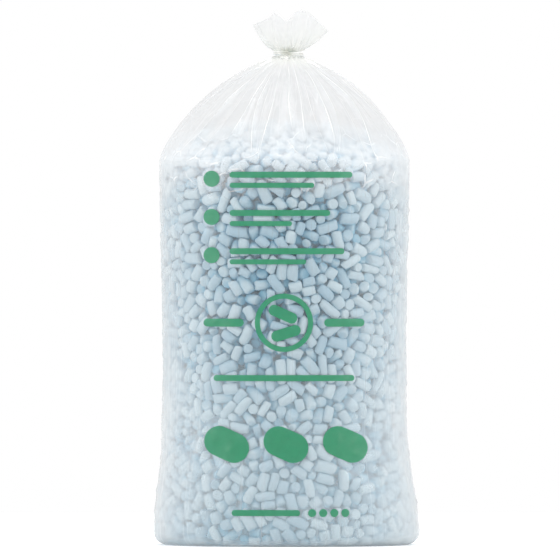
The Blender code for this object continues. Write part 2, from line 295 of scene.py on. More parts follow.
def footShift(height):
    # the filled foot leans a little to one side
    reach = sack["footSpreadHeight"] * 1.2
    return sack["footShift"] * (1 - eased(height / reach))


def planPoint(halfWidth, halfDepth, angle):
    power = 2 / sack["sectionPower"]
    across, along = np.cos(angle), np.sin(angle)
    return (
        halfWidth * np.sign(across) * np.abs(across) ** power,
        halfDepth * np.sign(along) * np.abs(along) ** power,
    )


def planShare(x, y, height):
    # 1 on the sack's wall at a height, and less inside it
    halfWidth, halfDepth = bodyHalves(height)
    power = sack["sectionPower"]
    return ((np.abs(x) / halfWidth) ** power + (np.abs(y) / halfDepth) ** power) ** (1 / power)


def heapTop(x, y):
    # height of the heap's top above a place in plan
    out = planShare(x, y, shoulderLevel)
    rise = sack["domeHeight"] * np.clip(1 - out * out, 0, 1) ** sack["domePower"]
    return sack["shoulderHeight"] - sack["domeGap"] + rise


# packing chips

chips = {
    "radius": (0.0116, 0.0160), "length": (0.032, 0.062), "meanLength": 0.044, "lengthSpread": 0.009,
    "variants": 8, "sides": 10, "endRound": 0.20, "endTilt": 0.22, "lumps": 0.045,
    "swell": (0.98, 1.10), "bend": 0.10, "oval": (0.91, 1.09), "formSeed": 5,
    "shell": 0.080, "topLayer": 0.070, "floorLayer": 0.030,   # how deep the chips are laid behind the film
    "fill": 0.71, "low": (-0.37, -0.34, 0.0), "high": (0.37, 0.34, 1.14), "tries": 60000, "seed": 11,
    "wallGap": 0.0016, "lowestWall": 0.012, "floorGap": 0.0022, "restGap": 0.0014, "deepRoom": 0.02,
    "rounds": 150, "findEvery": 4, "findRoom": 0.006, "relax": 1.35, "ballInset": 0.78, "looseInset": 0.75,
}
ballPlaces = np.array([-1.0, -1 / 3, 1 / 3, 1.0])


def modelChip(variant, generator):
    # one short rod of foam, two units long and one in radius
    deselectAll()
    bpy.ops.mesh.primitive_cylinder_add(vertices=chips["sides"], radius=1.0, depth=2.0)
    chip = bpy.context.object
    editMode()
    # softened ends
    pick(chip, "faces", lambda face: abs(face.normal.z) > 0.9)
    bpy.ops.mesh.region_to_loop()
    bpy.ops.mesh.bevel(offset=chips["endRound"], segments=1, affect="EDGES")
    # the middle swells a little and bends to one side
    selectWhole()
    bpy.ops.mesh.bisect(plane_co=(0, 0, 0), plane_no=(0, 0, 1))
    pick(chip, "verts", lambda vertex: abs(vertex.co.z) < 0.1)
    swell = generator.uniform(*chips["swell"])
    bpy.ops.transform.resize(value=(swell, swell, 1), center_override=(0, 0, 0))
    bpy.ops.transform.translate(value=(generator.uniform(-chips["bend"], chips["bend"]), 0, 0))
    # each end is cut a little askew
    for end in (-1, 1):
        pick(chip, "faces", lambda face: face.normal.z * end > 0.9)
        for axis in "XY":
            tilt = generator.uniform(-chips["endTilt"], chips["endTilt"])
            bpy.ops.transform.rotate(value=tilt, orient_axis=axis, center_override=(0, 0, end))
    selectWhole()
    bpy.ops.transform.vertex_random(offset=chips["lumps"], seed=variant)
    oval = generator.uniform(*chips["oval"])
    bpy.ops.transform.resize(value=(oval, 1 / oval, 1), center_override=(0, 0, 0))
    objectMode()
    points = np.array([v.co for v in chip.data.vertices])
    faces = [tuple(p.vertices) for p in chip.data.polygons]
    bpy.data.objects.remove(chip)
    return points, faces


def closePairs(points, reach):
    # pairs of points nearer than reach, found through a grid of cells
    cells = np.floor(points / reach).astype(np.int64)
    cells -= cells.min(axis=0) - 1
    wide = cells.max(axis=0) + 2
    keys = (cells[:, 0] * wide[1] + cells[:, 1]) * wide[2] + cells[:, 2]
    order = np.argsort(keys, kind="stable")
    ordered = keys[order]
    steps = [(x, y, z) for x in (0, 1) for y in (-1, 0, 1) for z in (-1, 0, 1) if (x, y, z) >= (0, 0, 0)]
    found = []
    for x, y, z in steps:
        wanted = keys + (x * wide[1] + y) * wide[2] + z
        first = np.searchsorted(ordered, wanted, "left")
        count = np.searchsorted(ordered, wanted, "right") - first
        one = np.repeat(np.arange(len(points)), count)
        within = np.arange(len(one)) - np.repeat(np.cumsum(count) - count, count)
        other = order[np.repeat(first, count) + within]
        if (x, y, z) == (0, 0, 0):
            keep = one < other
            one, other = one[keep], other[keep]
        found.append(np.stack([one, other]))
    pairs = np.concatenate(found, axis=1)
    apart = np.sum((points[pairs[0]] - points[pairs[1]]) ** 2, axis=1)
    return pairs[:, apart < reach * reach]


def wallDistance(points):
    # how far inside the film a point is, and the outward direction in plan
    x, y, z = points[:, 0] - footShift(points[:, 2]), points[:, 1], points[:, 2]
    out = planShare(x, y, np.clip(z, chips["lowestWall"], sack["shoulderHeight"]))
    reach = np.hypot(x, y) + 1e-9
    return reach / np.maximum(out, 1e-6) - reach - chips["wallGap"], np.stack([x / reach, y / reach], axis=1)


def topDistance(points):
    return heapTop(points[:, 0], points[:, 1]) - points[:, 2]


def chipBalls(centres, axes, arms):
    # a row of balls stands for each chip while the chips push each other apart
    return (centres[:, None, :] + axes[:, None, :] * (arms[:, None] * ballPlaces)[:, :, None]).reshape(-1, 3)


def startChips():
    # chips at random places in the layer behind the film
    generator = np.random.default_rng(chips["seed"])
    low, high = np.array(chips["low"]), np.array(chips["high"])
    tries = generator.uniform(low, high, (chips["tries"], 3))
    wall, _ = wallDistance(tries)
    top = topDistance(tries)
    near = (wall < chips["shell"]) | (top < chips["topLayer"]) | (tries[:, 2] < chips["floorLayer"])
    inside = (wall > 0) & (top > 0) & near
    space = np.prod(high - low) * inside.mean()
    meanRadius = sum(chips["radius"]) / 2
    count = int(chips["fill"] * space / (math.pi * meanRadius**2 * chips["meanLength"]))
    axes = generator.normal(size=(count, 3))
    axes /= np.linalg.norm(axes, axis=1)[:, None]
    radii = generator.uniform(*chips["radius"], count)
    spans = np.clip(generator.normal(chips["meanLength"], chips["lengthSpread"], count), *chips["length"])
    return tries[inside][:count].copy(), axes, radii, spans


def packChips(obstacles, obstacleRadii):
    # the chips push each other apart until they lie packed between the film, the floor and the heap's top
    centres, axes, radii, spans = startChips()
    count = len(centres)
    arms = spans / 2 - chips["ballInset"] * radii
    owner = np.concatenate([np.repeat(np.arange(count), len(ballPlaces)), np.full(len(obstacles), -1)])
    size = np.concatenate([np.repeat(radii, len(ballPlaces)), obstacleRadii])
    fixed = owner < 0
    for step in range(chips["rounds"]):
        balls = np.concatenate([chipBalls(centres, axes, arms), obstacles])
        if step % chips["findEvery"] == 0:
            pairs = closePairs(balls, 2 * chips["radius"][1] + chips["findRoom"])
            pairs = pairs[:, owner[pairs[0]] != owner[pairs[1]]]
        one, other = pairs
        between = balls[one] - balls[other]
        apart = np.sqrt(np.sum(between**2, axis=1)) + 1e-9
        press = size[one] + size[other] - apart
        touching = press > 0
        one, other, press = one[touching], other[touching], press[touching]
        push = between[touching] / apart[touching, None] * (press * 0.5)[:, None]
        push *= np.where(fixed[one] | fixed[other], 2.0, 1.0)[:, None]
        moved = np.zeros_like(balls)
        hits = np.bincount(one, minlength=len(balls)) + np.bincount(other, minlength=len(balls))
        for k in range(3):
            onward = np.bincount(one, push[:, k], len(balls))
            moved[:, k] = onward - np.bincount(other, push[:, k], len(balls))
        moved *= (chips["relax"] / np.maximum(np.sqrt(hits), 1.0))[:, None]
        # film, floor and heap top
        wall, outward = wallDistance(balls)
        moved[:, :2] -= outward * np.maximum(size - wall, 0.0)[:, None]
        top = topDistance(balls)
        moved[:, 2] -= np.maximum(size - top, 0.0)
        moved[:, 2] += np.maximum(size + chips["floorGap"] - balls[:, 2], 0.0)
        # nothing sinks into the middle
        sideRoom, topRoom = wall - chips["shell"], top - chips["topLayer"]
        floorRoom = balls[:, 2] - chips["floorLayer"] - chips["deepRoom"]
        deep = np.maximum(np.minimum(np.minimum(sideRoom, topRoom), floorRoom), 0.0) * 0.5
        side = sideRoom < topRoom
        moved[:, :2] += outward * np.where(side, deep, 0.0)[:, None]
        moved[:, 2] += np.where(side, 0.0, deep)
        part = moved[~fixed].reshape(count, len(ballPlaces), 3)
        centres += part.mean(axis=1)
        turning = np.sum(part * ballPlaces[None, :, None], axis=1) / np.sum(ballPlaces**2)
        axes += turning / arms[:, None]
        axes /= np.linalg.norm(axes, axis=1)[:, None]
    reach = np.abs(axes[:, 2]) * spans / 2 + np.sqrt(np.maximum(1 - axes[:, 2] ** 2, 0)) * radii * 1.1
    centres[:, 2] += np.maximum(reach + chips["restGap"] - centres[:, 2], 0.0)
    report(f"packed {count} chips, mean overlap {1000 * press.mean():.2f} mm")
    return {"centres": centres, "axes": axes, "radii": radii, "spans": spans}


def turned(axes, rolls):
    # rotation matrices that carry z to each axis, rolled about it
    helper = np.where(np.abs(axes[:, 2:3]) < 0.9, [[0.0, 0.0, 1.0]], [[1.0, 0.0, 0.0]])
    side = np.cross(helper, axes)
    side /= np.linalg.norm(side, axis=1)[:, None]
    third = np.cross(axes, side)
    c, s = np.cos(rolls)[:, None], np.sin(rolls)[:, None]
    return np.stack([side * c + third * s, third * c - side * s, axes], axis=2)


def scatterChips(name, forms, lot):
    # copies of the modelled chips, joined into one piece
    turns = turned(lot["axes"], lot["rolls"])
    allPoints, allLoops, allSizes, allTones = [], [], [], []
    total = 0
    for kind, (points, faces) in enumerate(forms):
        mine = np.nonzero(lot["kinds"] == kind)[0]
        if not len(mine):
            continue
        radii = lot["radii"][mine]
        scale = np.stack([radii, radii, lot["spans"][mine] / 2], axis=1)
        local = points[None, :, :] * scale[:, None, :]
        placed = np.einsum("nij,nkj->nki", turns[mine], local) + lot["centres"][mine][:, None, :]
        offsets = total + np.arange(len(mine))[:, None] * len(points)
        allPoints.append(placed.reshape(-1, 3))
        allLoops.append((np.concatenate(faces)[None, :] + offsets).ravel())
        allSizes.append(np.tile([len(f) for f in faces], len(mine)))
        allTones.append(np.repeat(lot["tones"][mine], len(points)))
        total += len(mine) * len(points)
    points, loops, sizes, tones = (np.concatenate(x) for x in (allPoints, allLoops, allSizes, allTones))
    mesh = bpy.data.meshes.new(name)
    mesh.vertices.add(len(points))
    mesh.vertices.foreach_set("co", points.astype(np.float32).ravel())
    mesh.loops.add(len(loops))
    mesh.loops.foreach_set("vertex_index", loops.astype(np.int32))
    mesh.polygons.add(len(sizes))
    mesh.polygons.foreach_set("loop_start", (np.cumsum(sizes) - sizes).astype(np.int32))
    mesh.update(calc_edges=True)
    mesh.validate()
    # round sides shade smooth, cut ends stay flat
    mesh.polygons.foreach_set("use_smooth", sizes <= 4)
    # depth is 0 for foam at the film or on the heap and 1 down in the gaps, where it brings painted shade;
    # crest is 1 on the heap's top, where painted light makes the foam paler
    wall, _ = wallDistance(points)
    deep = np.minimum(wall, topDistance(points))
    pointAttributes(
        mesh, tone=tones, depth=eased((deep - foam["gapStart"]) / (foam["gapEnd"] - foam["gapStart"])),
        crest=eased((points[:, 2] - foam["crestStart"]) / (foam["crestEnd"] - foam["crestStart"])),
    )
    return linkPiece(name, mesh)


# gap is painted shade, darker and bluer, down in the pile; crest is painted light on the heap's top, and
# crestGap painted shade in the gaps there
foam = {
    "shade": (0.42, 0.585, 0.69), "middle": (0.520, 0.655, 0.728), "light": (0.615, 0.74, 0.798),
    "gap": (0.155, 0.495, 0.685), "gapStart": 0.005, "gapEnd": 0.022, "gapShadeShare": 0.93,
    "crest": (0.765, 0.875, 0.945), "crestGap": (0.36, 0.69, 0.88), "crestShare": 0.95,
    "crestStart": 0.96, "crestEnd": 1.05,   # heights over which painted light makes the foam paler
    "toneShare": 0.65, "dents": {"Scale": 150.0, "Detail": 4.0, "Strength": 0.55, "Distance": 0.003},
}


def makeFoam():
    # pale foamed starch: matt, finely dented, each chip a little different, with painted shade, darker and
    # bluer, down in the gaps and painted light on the heap's top
    material, tree, surface = newMaterial("starchFoam")
    tone, depth, crest = readAttributes(tree, "tone", "depth", "crest")
    dents = addGrain(surface, objectCoords(tree), **foam["dents"])
    shade = timesPlus(tone, foam["toneShare"], times(dents, 1 - foam["toneShare"]))
    colour = ramp(shade, (0.15, foam["shade"]), (0.5, foam["middle"]), (0.85, foam["light"]))
    # painted shade: the foam turns darker and bluer down in the gaps
    colour = mixColours(times(depth, foam["gapShadeShare"]), colour, foam["gap"])
    # painted light on the heap's top, with painted shade in its gaps
    crestTone = mixColours(depth, foam["crest"], foam["crestGap"])
    colour = mixColours(times(crest, foam["crestShare"]), colour, crestTone)
    setInputs(surface, Base_Color=colour, Roughness=timesPlus(dents, 0.2, 0.7), Specular_IOR_Level=0.25)
    return material


def findLooseChips(names):
    # place, direction and size of the chips on the heap, where the part has them
    lot = {"centres": [], "axes": [], "radii": [], "spans": []}
    for name in names:
        points = np.array([v.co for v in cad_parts[name].data.vertices])
        points = np.unique(points.round(6), axis=0)
        centre = points.mean(axis=0)
        _, vectors = np.linalg.eigh(np.cov((points - centre).T))
        axis = vectors[:, -1]
        along = (points - centre) @ axis
        across = np.linalg.norm(points - centre - along[:, None] * axis, axis=1)
        for key, value in zip(lot, (centre, axis, across.max(), along.max() - along.min())):
            lot[key].append(value)
    lot = {key: np.array(values) for key, values in lot.items()}
    order = np.arange(len(names))
    return {**lot, "kinds": order % chips["variants"], "rolls": order * 0.7, "tones": (order * 0.37) % 1}


def chosen(lot, index):
    return {key: values[index] for key, values in lot.items()}


core = {
    "sides": 72, "behind": 0.004, "foot": 0.034, "below": 0.05, "rings": 18,
    "steps": (0.9, 0.7, 0.5, 0.3, 0.12), "lumps": 0.005, "seed": 3,
}


def makeCore():
    # the mass behind the chips that show: a lumpy closed form with its crests just under them
    inset = chips["shell"] + core["behind"]
    foot, top = core["foot"], sack["shoulderHeight"] - core["below"]
    deselectAll()
    bpy.ops.mesh.primitive_cylinder_add(
        vertices=core["sides"], radius=1.0, depth=top - foot, location=(0, 0, (top + foot) / 2))
    piece = bpy.context.object
    piece.name = "packed_chips_core"
    bpy.ops.object.transform_apply(location=True, rotation=False, scale=False)
    editMode()
    heights = np.linspace(foot, top, core["rings"])
    for height in heights[1:-1]:
        selectWhole()
        bpy.ops.mesh.bisect(plane_co=(0, 0, height), plane_no=(0, 0, 1))
    for height in heights:
        halfWidth, halfDepth = bodyHalves(np.array(height))
        pick(piece, "verts", lambda vertex: abs(vertex.co.z - height) < 1e-3)
        size = (halfWidth - inset, halfDepth - inset, 1)
        bpy.ops.transform.resize(value=size, center_override=(0, 0, height))
    # the top steps in under the heap
    pick(piece, "faces", lambda face: face.normal.z > 0.9)
    reach, level = 1.0, top
    for share in core["steps"]:
        dome = sack["domeHeight"] * (1 - share * share) ** sack["domePower"]
        rise = sack["shoulderHeight"] - chips["topLayer"] + dome
        bpy.ops.mesh.extrude_region_move(TRANSFORM_OT_translate={"value": (0, 0, rise - level)})
        bpy.ops.transform.resize(value=(share / reach, share / reach, 1), center_override=(0, 0, rise))
        reach, level = share, rise
    selectWhole()
    bpy.ops.transform.vertex_random(offset=core["lumps"], seed=core["seed"])
    objectMode()
    # the core lies deep, so it takes the gaps' painted shade all over
    pointAttributes(piece.data, tone=0.0, depth=1.0, crest=0.0)
    return piece


foamMaterial = makeFoam()
generator = np.random.default_rng(chips["formSeed"])
chipForms = [modelChip(k, generator) for k in range(chips["variants"])]
looseNames = sorted(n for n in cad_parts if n.startswith("chip_") and n != "chip_fill")
loose = findLooseChips(looseNames)
looseArms = loose["spans"] / 2 - chips["looseInset"] * loose["radii"]
looseBalls = chipBalls(loose["centres"], loose["axes"], looseArms)
packed = packChips(looseBalls, np.repeat(loose["radii"], len(ballPlaces)))
chipCount = len(packed["centres"])
packed["kinds"] = generator.integers(0, chips["variants"], chipCount)
packed["rolls"] = generator.uniform(0, 2 * np.pi, chipCount)
packed["tones"] = generator.uniform(0, 1, chipCount)
packedPieces = []
packedNames = ["packed_chips_low", "packed_chips_middle", "packed_chips_top"]
fromLow = np.argsort(packed["centres"][:, 2], kind="stable")
for name, part in zip(packedNames, np.array_split(fromLow, len(packedNames))):
    piece = scatterChips(name, chipForms, chosen(packed, part))
    finishPiece(piece, foamMaterial, "chips", "chip_fill")
    packedPieces.append(piece)
finishPiece(makeCore(), foamMaterial, "chips", "chip_fill")
for k, nodeName in enumerate(looseNames):
    piece = scatterChips(f"loose_{nodeName}", chipForms, chosen(loose, [k]))
    finishPiece(piece, foamMaterial, "chips", nodeName)
report("chips laid")

# film sack

film = {
    "columns": 252, "floorRows": 5, "cornerRows": 8, "bodyRows": 90, "tentRows": 60, "neckRows": 6,
    "mouthRows": 26, "wall": 0.0005, "seed": 4, "floorRim": 0.4, "evenBlend": 0.16,
    "creaseWidth": 0.0022, "creaseRoom": 0.22,   # half a crease's width, and its most as a share of a panel
    "endRoom": 0.04, "endFade": 0.16, "lineBend": 0.7, "lineReach": 0.42,
    "kink": 0.022, "kinks": [(0, 0), (0.3, 1), (0.5, -0.6), (0.75, 1), (1, 0)],
    "sag": 0.09, "mostSag": 0.012, "neckSag": 0.42, "looseSag": 0.35, "sagIn": 0.85, "sagDown": 0.55,
    "startFade": 0.16, "dip": 0.007, "dipReach": 1.05,
    "pulse": 0.28, "pulses": 15.0, "creaseStart": 0.12, "creaseFade": 0.75,
    "gathers": 18, "gatherDepth": 0.020, "gatherReach": 0.6, "gatherFade": 0.35, "gatherSeed": 7,
    "neckDepth": 0.026, "neckSwell": 0.0072, "swellAt": 0.0082,
    "neckSqueeze": (0.10, 0.45, 1.0),   # share of the film's width at the cord's middle, half way and edge
}
# creases of one half of the tent: angles at the neck, half way and at the shoulder, where each ends,
# and how bright it is
frontCreases = [
    (-46, -70, -80, 0.62, 0.5), (-34, -57, -63, 0.45, 0.7), (-25, -45, -51, 0.80, 1.0),
    (-22, -33, -41, 0.95, 0.4), (-19, -24, -30, 0.76, 1.0), (-16, -19, -14.6, 0.93, 0.9),
    (-12, -14, -12.3, 0.93, 0.5), (-8, -8, -10.0, 0.93, 0.8), (-4, 1.5, 3, 0.74, 1.0),
    (5, 8, 9, 0.76, 1.0), (10, 14, 19.6, 0.93, 0.6), (17, 24, 22, 0.93, 1.0),
    (21, 30, 24.4, 0.93, 0.6), (26, 40, 40, 0.88, 0.4), (31, 48, 45, 0.90, 1.0),
    (36, 54, 59, 0.50, 0.8), (46, 67, 74, 0.66, 0.5),
]
# creases of the two sides: angles at the neck and at the shoulder, where each ends
sideCreases = [(-24, -2, 0.7), (-2, 7, 0.9), (22, 12, 0.6), (156, 171, 0.9), (180, 179, 0.6), (203, 188, 0.8)]
fullTurn = 2 * np.pi


def smoothLine(generator, angle, waves):
    # a smooth random line round the sack, from -1 to 1
    line = np.zeros(len(angle))
    for wave in waves:
        line += generator.normal() / wave**0.5 * np.sin(wave * angle + generator.uniform(0, fullTurn))
    return line / np.abs(line).max()


def fanCreases(generator):
    # every crease round the tent by its angle: the back has the front's, turned and shifted a little
    creases = []
    for neck, middle, shoulder, end, bright in frontCreases:
        creases.append((neck - 90, middle - 90, shoulder - 90, end, bright))
    for neck, middle, shoulder, end, bright in frontCreases:
        shift = generator.uniform(-1.0, 1.0)
        halfWay = 90 + middle * 0.98 + 2 * shift
        creases.append((90 + neck + shift, halfWay, 90 + shoulder + shift, end, bright))
    for neck, shoulder, end in sideCreases:
        creases.append((neck, (neck + 2 * shoulder) / 3, shoulder, end, 0.8))
    creases = np.array(sorted(creases, key=lambda crease: (crease[0] + 100) % 360))
    angles = (creases[:, :3] + 100) % 360 - 100
    levels = np.where(creases[:, 4] < 0.75, generator.uniform(0.3, 1.0, len(creases)), 0.0)
    return np.radians(angles).T, creases[:, 3], creases[:, 4], levels


def panelWidths(lines):
    return np.diff(np.append(lines, lines[0] + fullTurn))


def shareColumns(gaps):
    # three columns stand on each crease, and the rest fill the panels between them by their width
    free = film["columns"] - 3 * len(gaps)
    each = 1 + np.floor((free - len(gaps)) * gaps / gaps.sum()).astype(int)
    while each.sum() < free:
        each[np.argmax(gaps / (each + 1))] += 1
    return each


def columnAngles(lines, each, radius):
    # the angle of every column on one ring, given where its creases are
    after = np.append(lines[1:], lines[0] + fullTurn)
    before = np.append(lines[-1] - fullTurn, lines[:-1])
    widest = film["creaseWidth"] / radius
    angles = []
    for here, last, following, inner in zip(lines, before, after, each):
        low = min(widest, film["creaseRoom"] * (here - last))
        high = min(widest, film["creaseRoom"] * (following - here))
        angles += [here - low, here, here + high]
        angles += list(np.linspace(here + high, following - high, inner + 2)[1:-1])
    return np.array(angles)


def panelPlace(angles, lines):
    # which panel each column is in, and how far across it
    rolled = (angles - lines[0]) % fullTurn + lines[0]
    panel = np.clip(np.searchsorted(lines, rolled + 1e-7, "right") - 1, 0, len(lines) - 1)
    wide = panelWidths(lines)[panel]
    return panel, (rolled - lines[panel]) / wide, wide


def gatherSag(angles, depth):
    # the broad folds between the neck's gathers, where the part has them
    draws = random.Random(film["gatherSeed"])
    slack = np.array([draws.uniform(0.5, 1.0) for _ in range(2 * film["gathers"])])
    turn = (angles % fullTurn) / fullTurn * film["gathers"]
    fold = np.minimum(turn.astype(int), film["gathers"] - 1)
    return depth * slack[2 * fold + 1] * np.sin(np.pi * (turn - fold)) ** 2


def sagInward(x, y, z, press, share):
    # moves points of a ring into the sack: sideways near the shoulder and the neck, partly down in between
    reach = np.hypot(x, y)
    down = film["sagDown"] * math.cos(math.pi / 2 * share)
    inward = np.minimum(film["sagIn"] * press, 0.5 * reach)
    return x - x / reach * inward, y - y / reach * inward, z - down * press


def planFilm():
    # where the creases run, and how the columns of points are shared out between them
    generator = np.random.default_rng(film["seed"])
    (neck, middle, shoulder), ends, bright, levels = fanCreases(generator)
    shoulder, middle = np.maximum.accumulate(shoulder), np.maximum.accumulate(middle)
    each = shareColumns(panelWidths(shoulder) + panelWidths(neck))
    onCrease = np.zeros(film["columns"])
    onCrease[np.cumsum(3 + each) - each - 2] = 1
    shoulderAngles = columnAngles(shoulder, each, sack["bodyWidth"] / 2)
    evenAngles = shoulder[0] + np.arange(film["columns"]) / film["columns"] * 2 * np.pi
    evenAngles += np.mean(shoulderAngles - evenAngles)
    neckAngles = columnAngles(neck, each, sack["neckRadius"])
    _, across, width = panelPlace(neckAngles, neck)
    return {
        "neck": neck, "middle": middle, "shoulder": shoulder, "ends": ends, "bright": bright,
        "levels": levels, "each": each, "onCrease": onCrease,
        "creaseOf": np.repeat(np.arange(len(each)), 3 + each),
        "shoulderAngles": shoulderAngles, "evenAngles": evenAngles, "neckAngles": neckAngles,
        "pleat": film["neckSag"] * width * 4 * across * (1 - across),
        "kinkWay": generator.uniform(-1, 1, len(neck)), "kinkTurn": generator.uniform(0, fullTurn, len(neck)),
    }


# each of the next functions gives rings of points, from the middle of the foot to the mouth: x, y, z and fold

def bodyRings(plan):
    # the flat foot, its round edge and the filled sides
    halfWidth, halfDepth = bodyHalves(np.array(0.0))
    for step in range(1, film["floorRows"] + 1):
        share = step / (film["floorRows"] + film["floorRim"])
        x, y = planPoint(halfWidth * share, halfDepth * share, plan["evenAngles"])
        yield x + footShift(0.0), y, 0.0, 0.0
    heights = list(sack["footCorner"] * (1 - np.cos(np.linspace(0, np.pi / 2, film["cornerRows"]))))
    heights += list(np.linspace(sack["footCorner"], sack["shoulderHeight"], film["bodyRows"] + 1)[1:])
    for height in heights:
        blend = eased((sack["shoulderHeight"] - height) / film["evenBlend"])
        angles = plan["shoulderAngles"] * (1 - blend) + plan["evenAngles"] * blend
        x, y = planPoint(*bodyHalves(np.array(height)), angles)
        yield x + footShift(height), y, height, 0.0


def tentLines(plan, away):
    # where the creases are on a ring this share of the way from the neck to the shoulder
    if away < 0.5:
        lines = plan["neck"] + (plan["middle"] - plan["neck"]) * (2 * away) ** film["lineBend"]
    else:
        lines = plan["middle"] + (plan["shoulder"] - plan["middle"]) * rising(away, 0.5, film["lineReach"])
    kinks = film["kink"] * np.interp(away, *zip(*film["kinks"])) * plan["kinkWay"]
    return np.maximum.accumulate(lines + kinks + 2e-4 * np.arange(len(lines)))


def tentRings(plan):
    # taut creases with the film sagging between them
    halfWidth, halfDepth = bodyHalves(shoulderLevel)
    tentHeight = sack["neckHeight"] - sack["bulgeGap"] - sack["shoulderHeight"]
    for step in range(1, film["tentRows"] + 1):
        share = step / film["tentRows"]
        away = 1 - share
        turn = np.pi / 2 * share
        inward = max(np.cos(turn), 0.0) ** (2 / sack["tentPower"])
        rise = np.sin(turn) ** (2 / sack["tentPower"])
        wide = sack["neckBulge"] + (halfWidth - sack["neckBulge"]) * inward
        deep = sack["neckBulge"] + (halfDepth - sack["neckBulge"]) * inward
        lines = tentLines(plan, away)
        angles = columnAngles(lines, plan["each"], wide)
        panel, across, width = panelPlace(angles, lines)
        after = (panel + 1) % len(lines)
        hold = eased((plan["ends"] + film["endRoom"] - away) / film["endFade"])
        held = plan["levels"] * hold
        level = held[panel] * (1 - across) + held[after] * across
        crown = np.minimum(hold[panel], 1) * (1 - across) + np.minimum(hold[after], 1) * across
        slack = film["sag"] * (1 - share) + film["neckSag"] * share**3
        tight = film["looseSag"] + (1 - film["looseSag"]) * crown
        sag = slack * width * wide * 4 * across * (1 - across) * tight
        ease = eased(share / film["startFade"])
        dip = film["dip"] * level * math.sin(math.pi * min(share * film["dipReach"], 1.0))
        depth = film["gatherDepth"] * math.sin(turn) ** film["gatherReach"]
        press = (np.minimum(sag, film["mostSag"]) + dip) * ease
        press += gatherSag(angles, depth) * ease * (1 - film["gatherFade"] * share)
        x, y = planPoint(wide, deep, angles)
        x, y, z = sagInward(x, y, sack["shoulderHeight"] + tentHeight * rise, press, share)
        # a crease's painted highlight is bright in stretches and fades towards the shoulder and the neck
        beat = plan["kinkTurn"] + film["pulses"] * share * (1 + 0.3 * plan["kinkWay"])
        pulse = 1 + film["pulse"] * (np.sin(beat) - 1)
        fold = plan["onCrease"] * (plan["bright"] * hold * pulse)[plan["creaseOf"]]
        fold = fold * eased(share / film["creaseStart"]) * (1 - film["creaseFade"] * rising(share, 0.5, 0.4))
        yield x + sack["neckOffset"] * (1 - inward**2), y, z, fold


def neckRings(plan):
    # the film swells on both sides of the cord, which closes it
    swell = sack["neckRadius"] + film["neckSwell"]
    stations = [(-film["swellAt"], swell, 1.0)]
    for step in np.linspace(-1, 1, film["neckRows"]):
        squeeze = np.interp(abs(step), (0.2, 0.6, 1.0), film["neckSqueeze"])
        stations.append((sack["tieHalf"] * step, sack["neckRadius"], squeeze))
    stations += [(film["swellAt"], swell, 1.0)]
    for level, radius, squeeze in stations:
        radius = squeeze * (radius * (1 - plan["pleat"]) - gatherSag(plan["neckAngles"], film["neckDepth"]))
        x, y = planPoint(radius, radius, plan["neckAngles"])
        yield x + sack["neckOffset"], y, sack["neckHeight"] + level, 0.0


mouth = {
    "width": 0.0965, "depth": 0.080, "skew": 0.004, "foot": 0.048, "open": 0.62, "seed": 2,
    "fold": 0.010, "folds": (5, 8, 11), "swing": 0.10, "drop": 0.006, "creases": 0.06,
    "curls": (3, 5), "widthCurl": 0.005, "depthCurl": 0.006,
}
# height of the mouth's edge along its width, as seen from the front
rimLine = [
    (-0.100, 1.404), (-0.072, 1.416), (-0.055, 1.424), (-0.038, 1.4465), (-0.008, 1.419), (0.004, 1.422),
    (0.016, 1.438), (0.034, 1.4455), (0.052, 1.441), (0.068, 1.426), (0.085, 1.412), (0.105, 1.390),
]


def mouthRings(plan):
    # pleats that open into soft folds, with an edge that stands up in two lobes
    angles = plan["neckAngles"]
    generator = np.random.default_rng(mouth["seed"])
    wave, swing, curl = (smoothLine(generator, angles, mouth[key]) for key in ("folds", "folds", "curls"))
    gather = gatherSag(angles, film["neckDepth"])
    width = mouth["width"] + mouth["skew"] * np.cos(angles) + mouth["widthCurl"] * curl
    depth = mouth["depth"] + mouth["depthCurl"] * curl
    base = sack["neckHeight"] + sack["bulgeGap"]
    for step in range(film["mouthRows"] + 1):
        share = step / film["mouthRows"]
        opened = share ** mouth["open"]
        reach = mouth["foot"] * (1 - plan["pleat"] * (1 - share) ** 3) - gather * (1 - share) ** 2
        fold = 1 + mouth["fold"] * wave * opened / mouth["width"]
        swirl = angles + mouth["swing"] * opened * swing
        x = (reach + (width - reach) * opened) * fold * np.cos(swirl)
        y = (reach + (depth - reach) * opened) * fold * np.sin(swirl)
        rimX = (width * np.cos(swirl)) * (1 + mouth["fold"] * wave / mouth["width"])
        top = np.interp(rimX, *zip(*rimLine))
        top -= mouth["drop"] * (0.5 + 0.5 * curl) * np.clip(0.4 - np.sin(swirl), 0, 1)
        crease = plan["onCrease"] * (1 - share) * mouth["creases"]
        yield x + sack["neckOffset"], y, base + (top - base) * share, crease


def layFilm():
    plan = planFilm()
    level = np.zeros(film["columns"])
    rings, zones, folds = [], [], []
    makers = {"body": bodyRings, "tent": tentRings, "neck": neckRings, "mouth": mouthRings}
    for zone, maker in makers.items():
        for x, y, z, fold in maker(plan):
            rings.append(np.stack([x, y, z + level], axis=1))
            zones.append(zone)
            folds.append(fold + level)
    report(f"film rings {len(rings)}")
    return np.array(rings), np.array(zones), np.array(folds)


def filmNormals(points):
    # outward normals of the rings, from their neighbours
    around = np.roll(points, -1, axis=1) - np.roll(points, 1, axis=1)
    up = np.gradient(points, axis=0)
    normal = np.cross(around, up)
    return normal / np.maximum(np.linalg.norm(normal, axis=2, keepdims=True), 1e-9)


hug = {
    "clearance": 0.0014, "mostOut": 0.008, "mostIn": 0.008,   # how far the film follows the chips
    "look": 0.015, "lookRange": 0.045, "nothing": 0.03, "tentRows": 14, "freeRows": 2,
    "rounds": 40, "around": 0.35, "along": 0.15, "give": 0.0001,
    "foot": (0.004, 0.05), "top": (0.94, 0.09),   # where the hold grows and fades, each with its height
    "tuck": 0.0009, "tuckReach": 0.014,
}


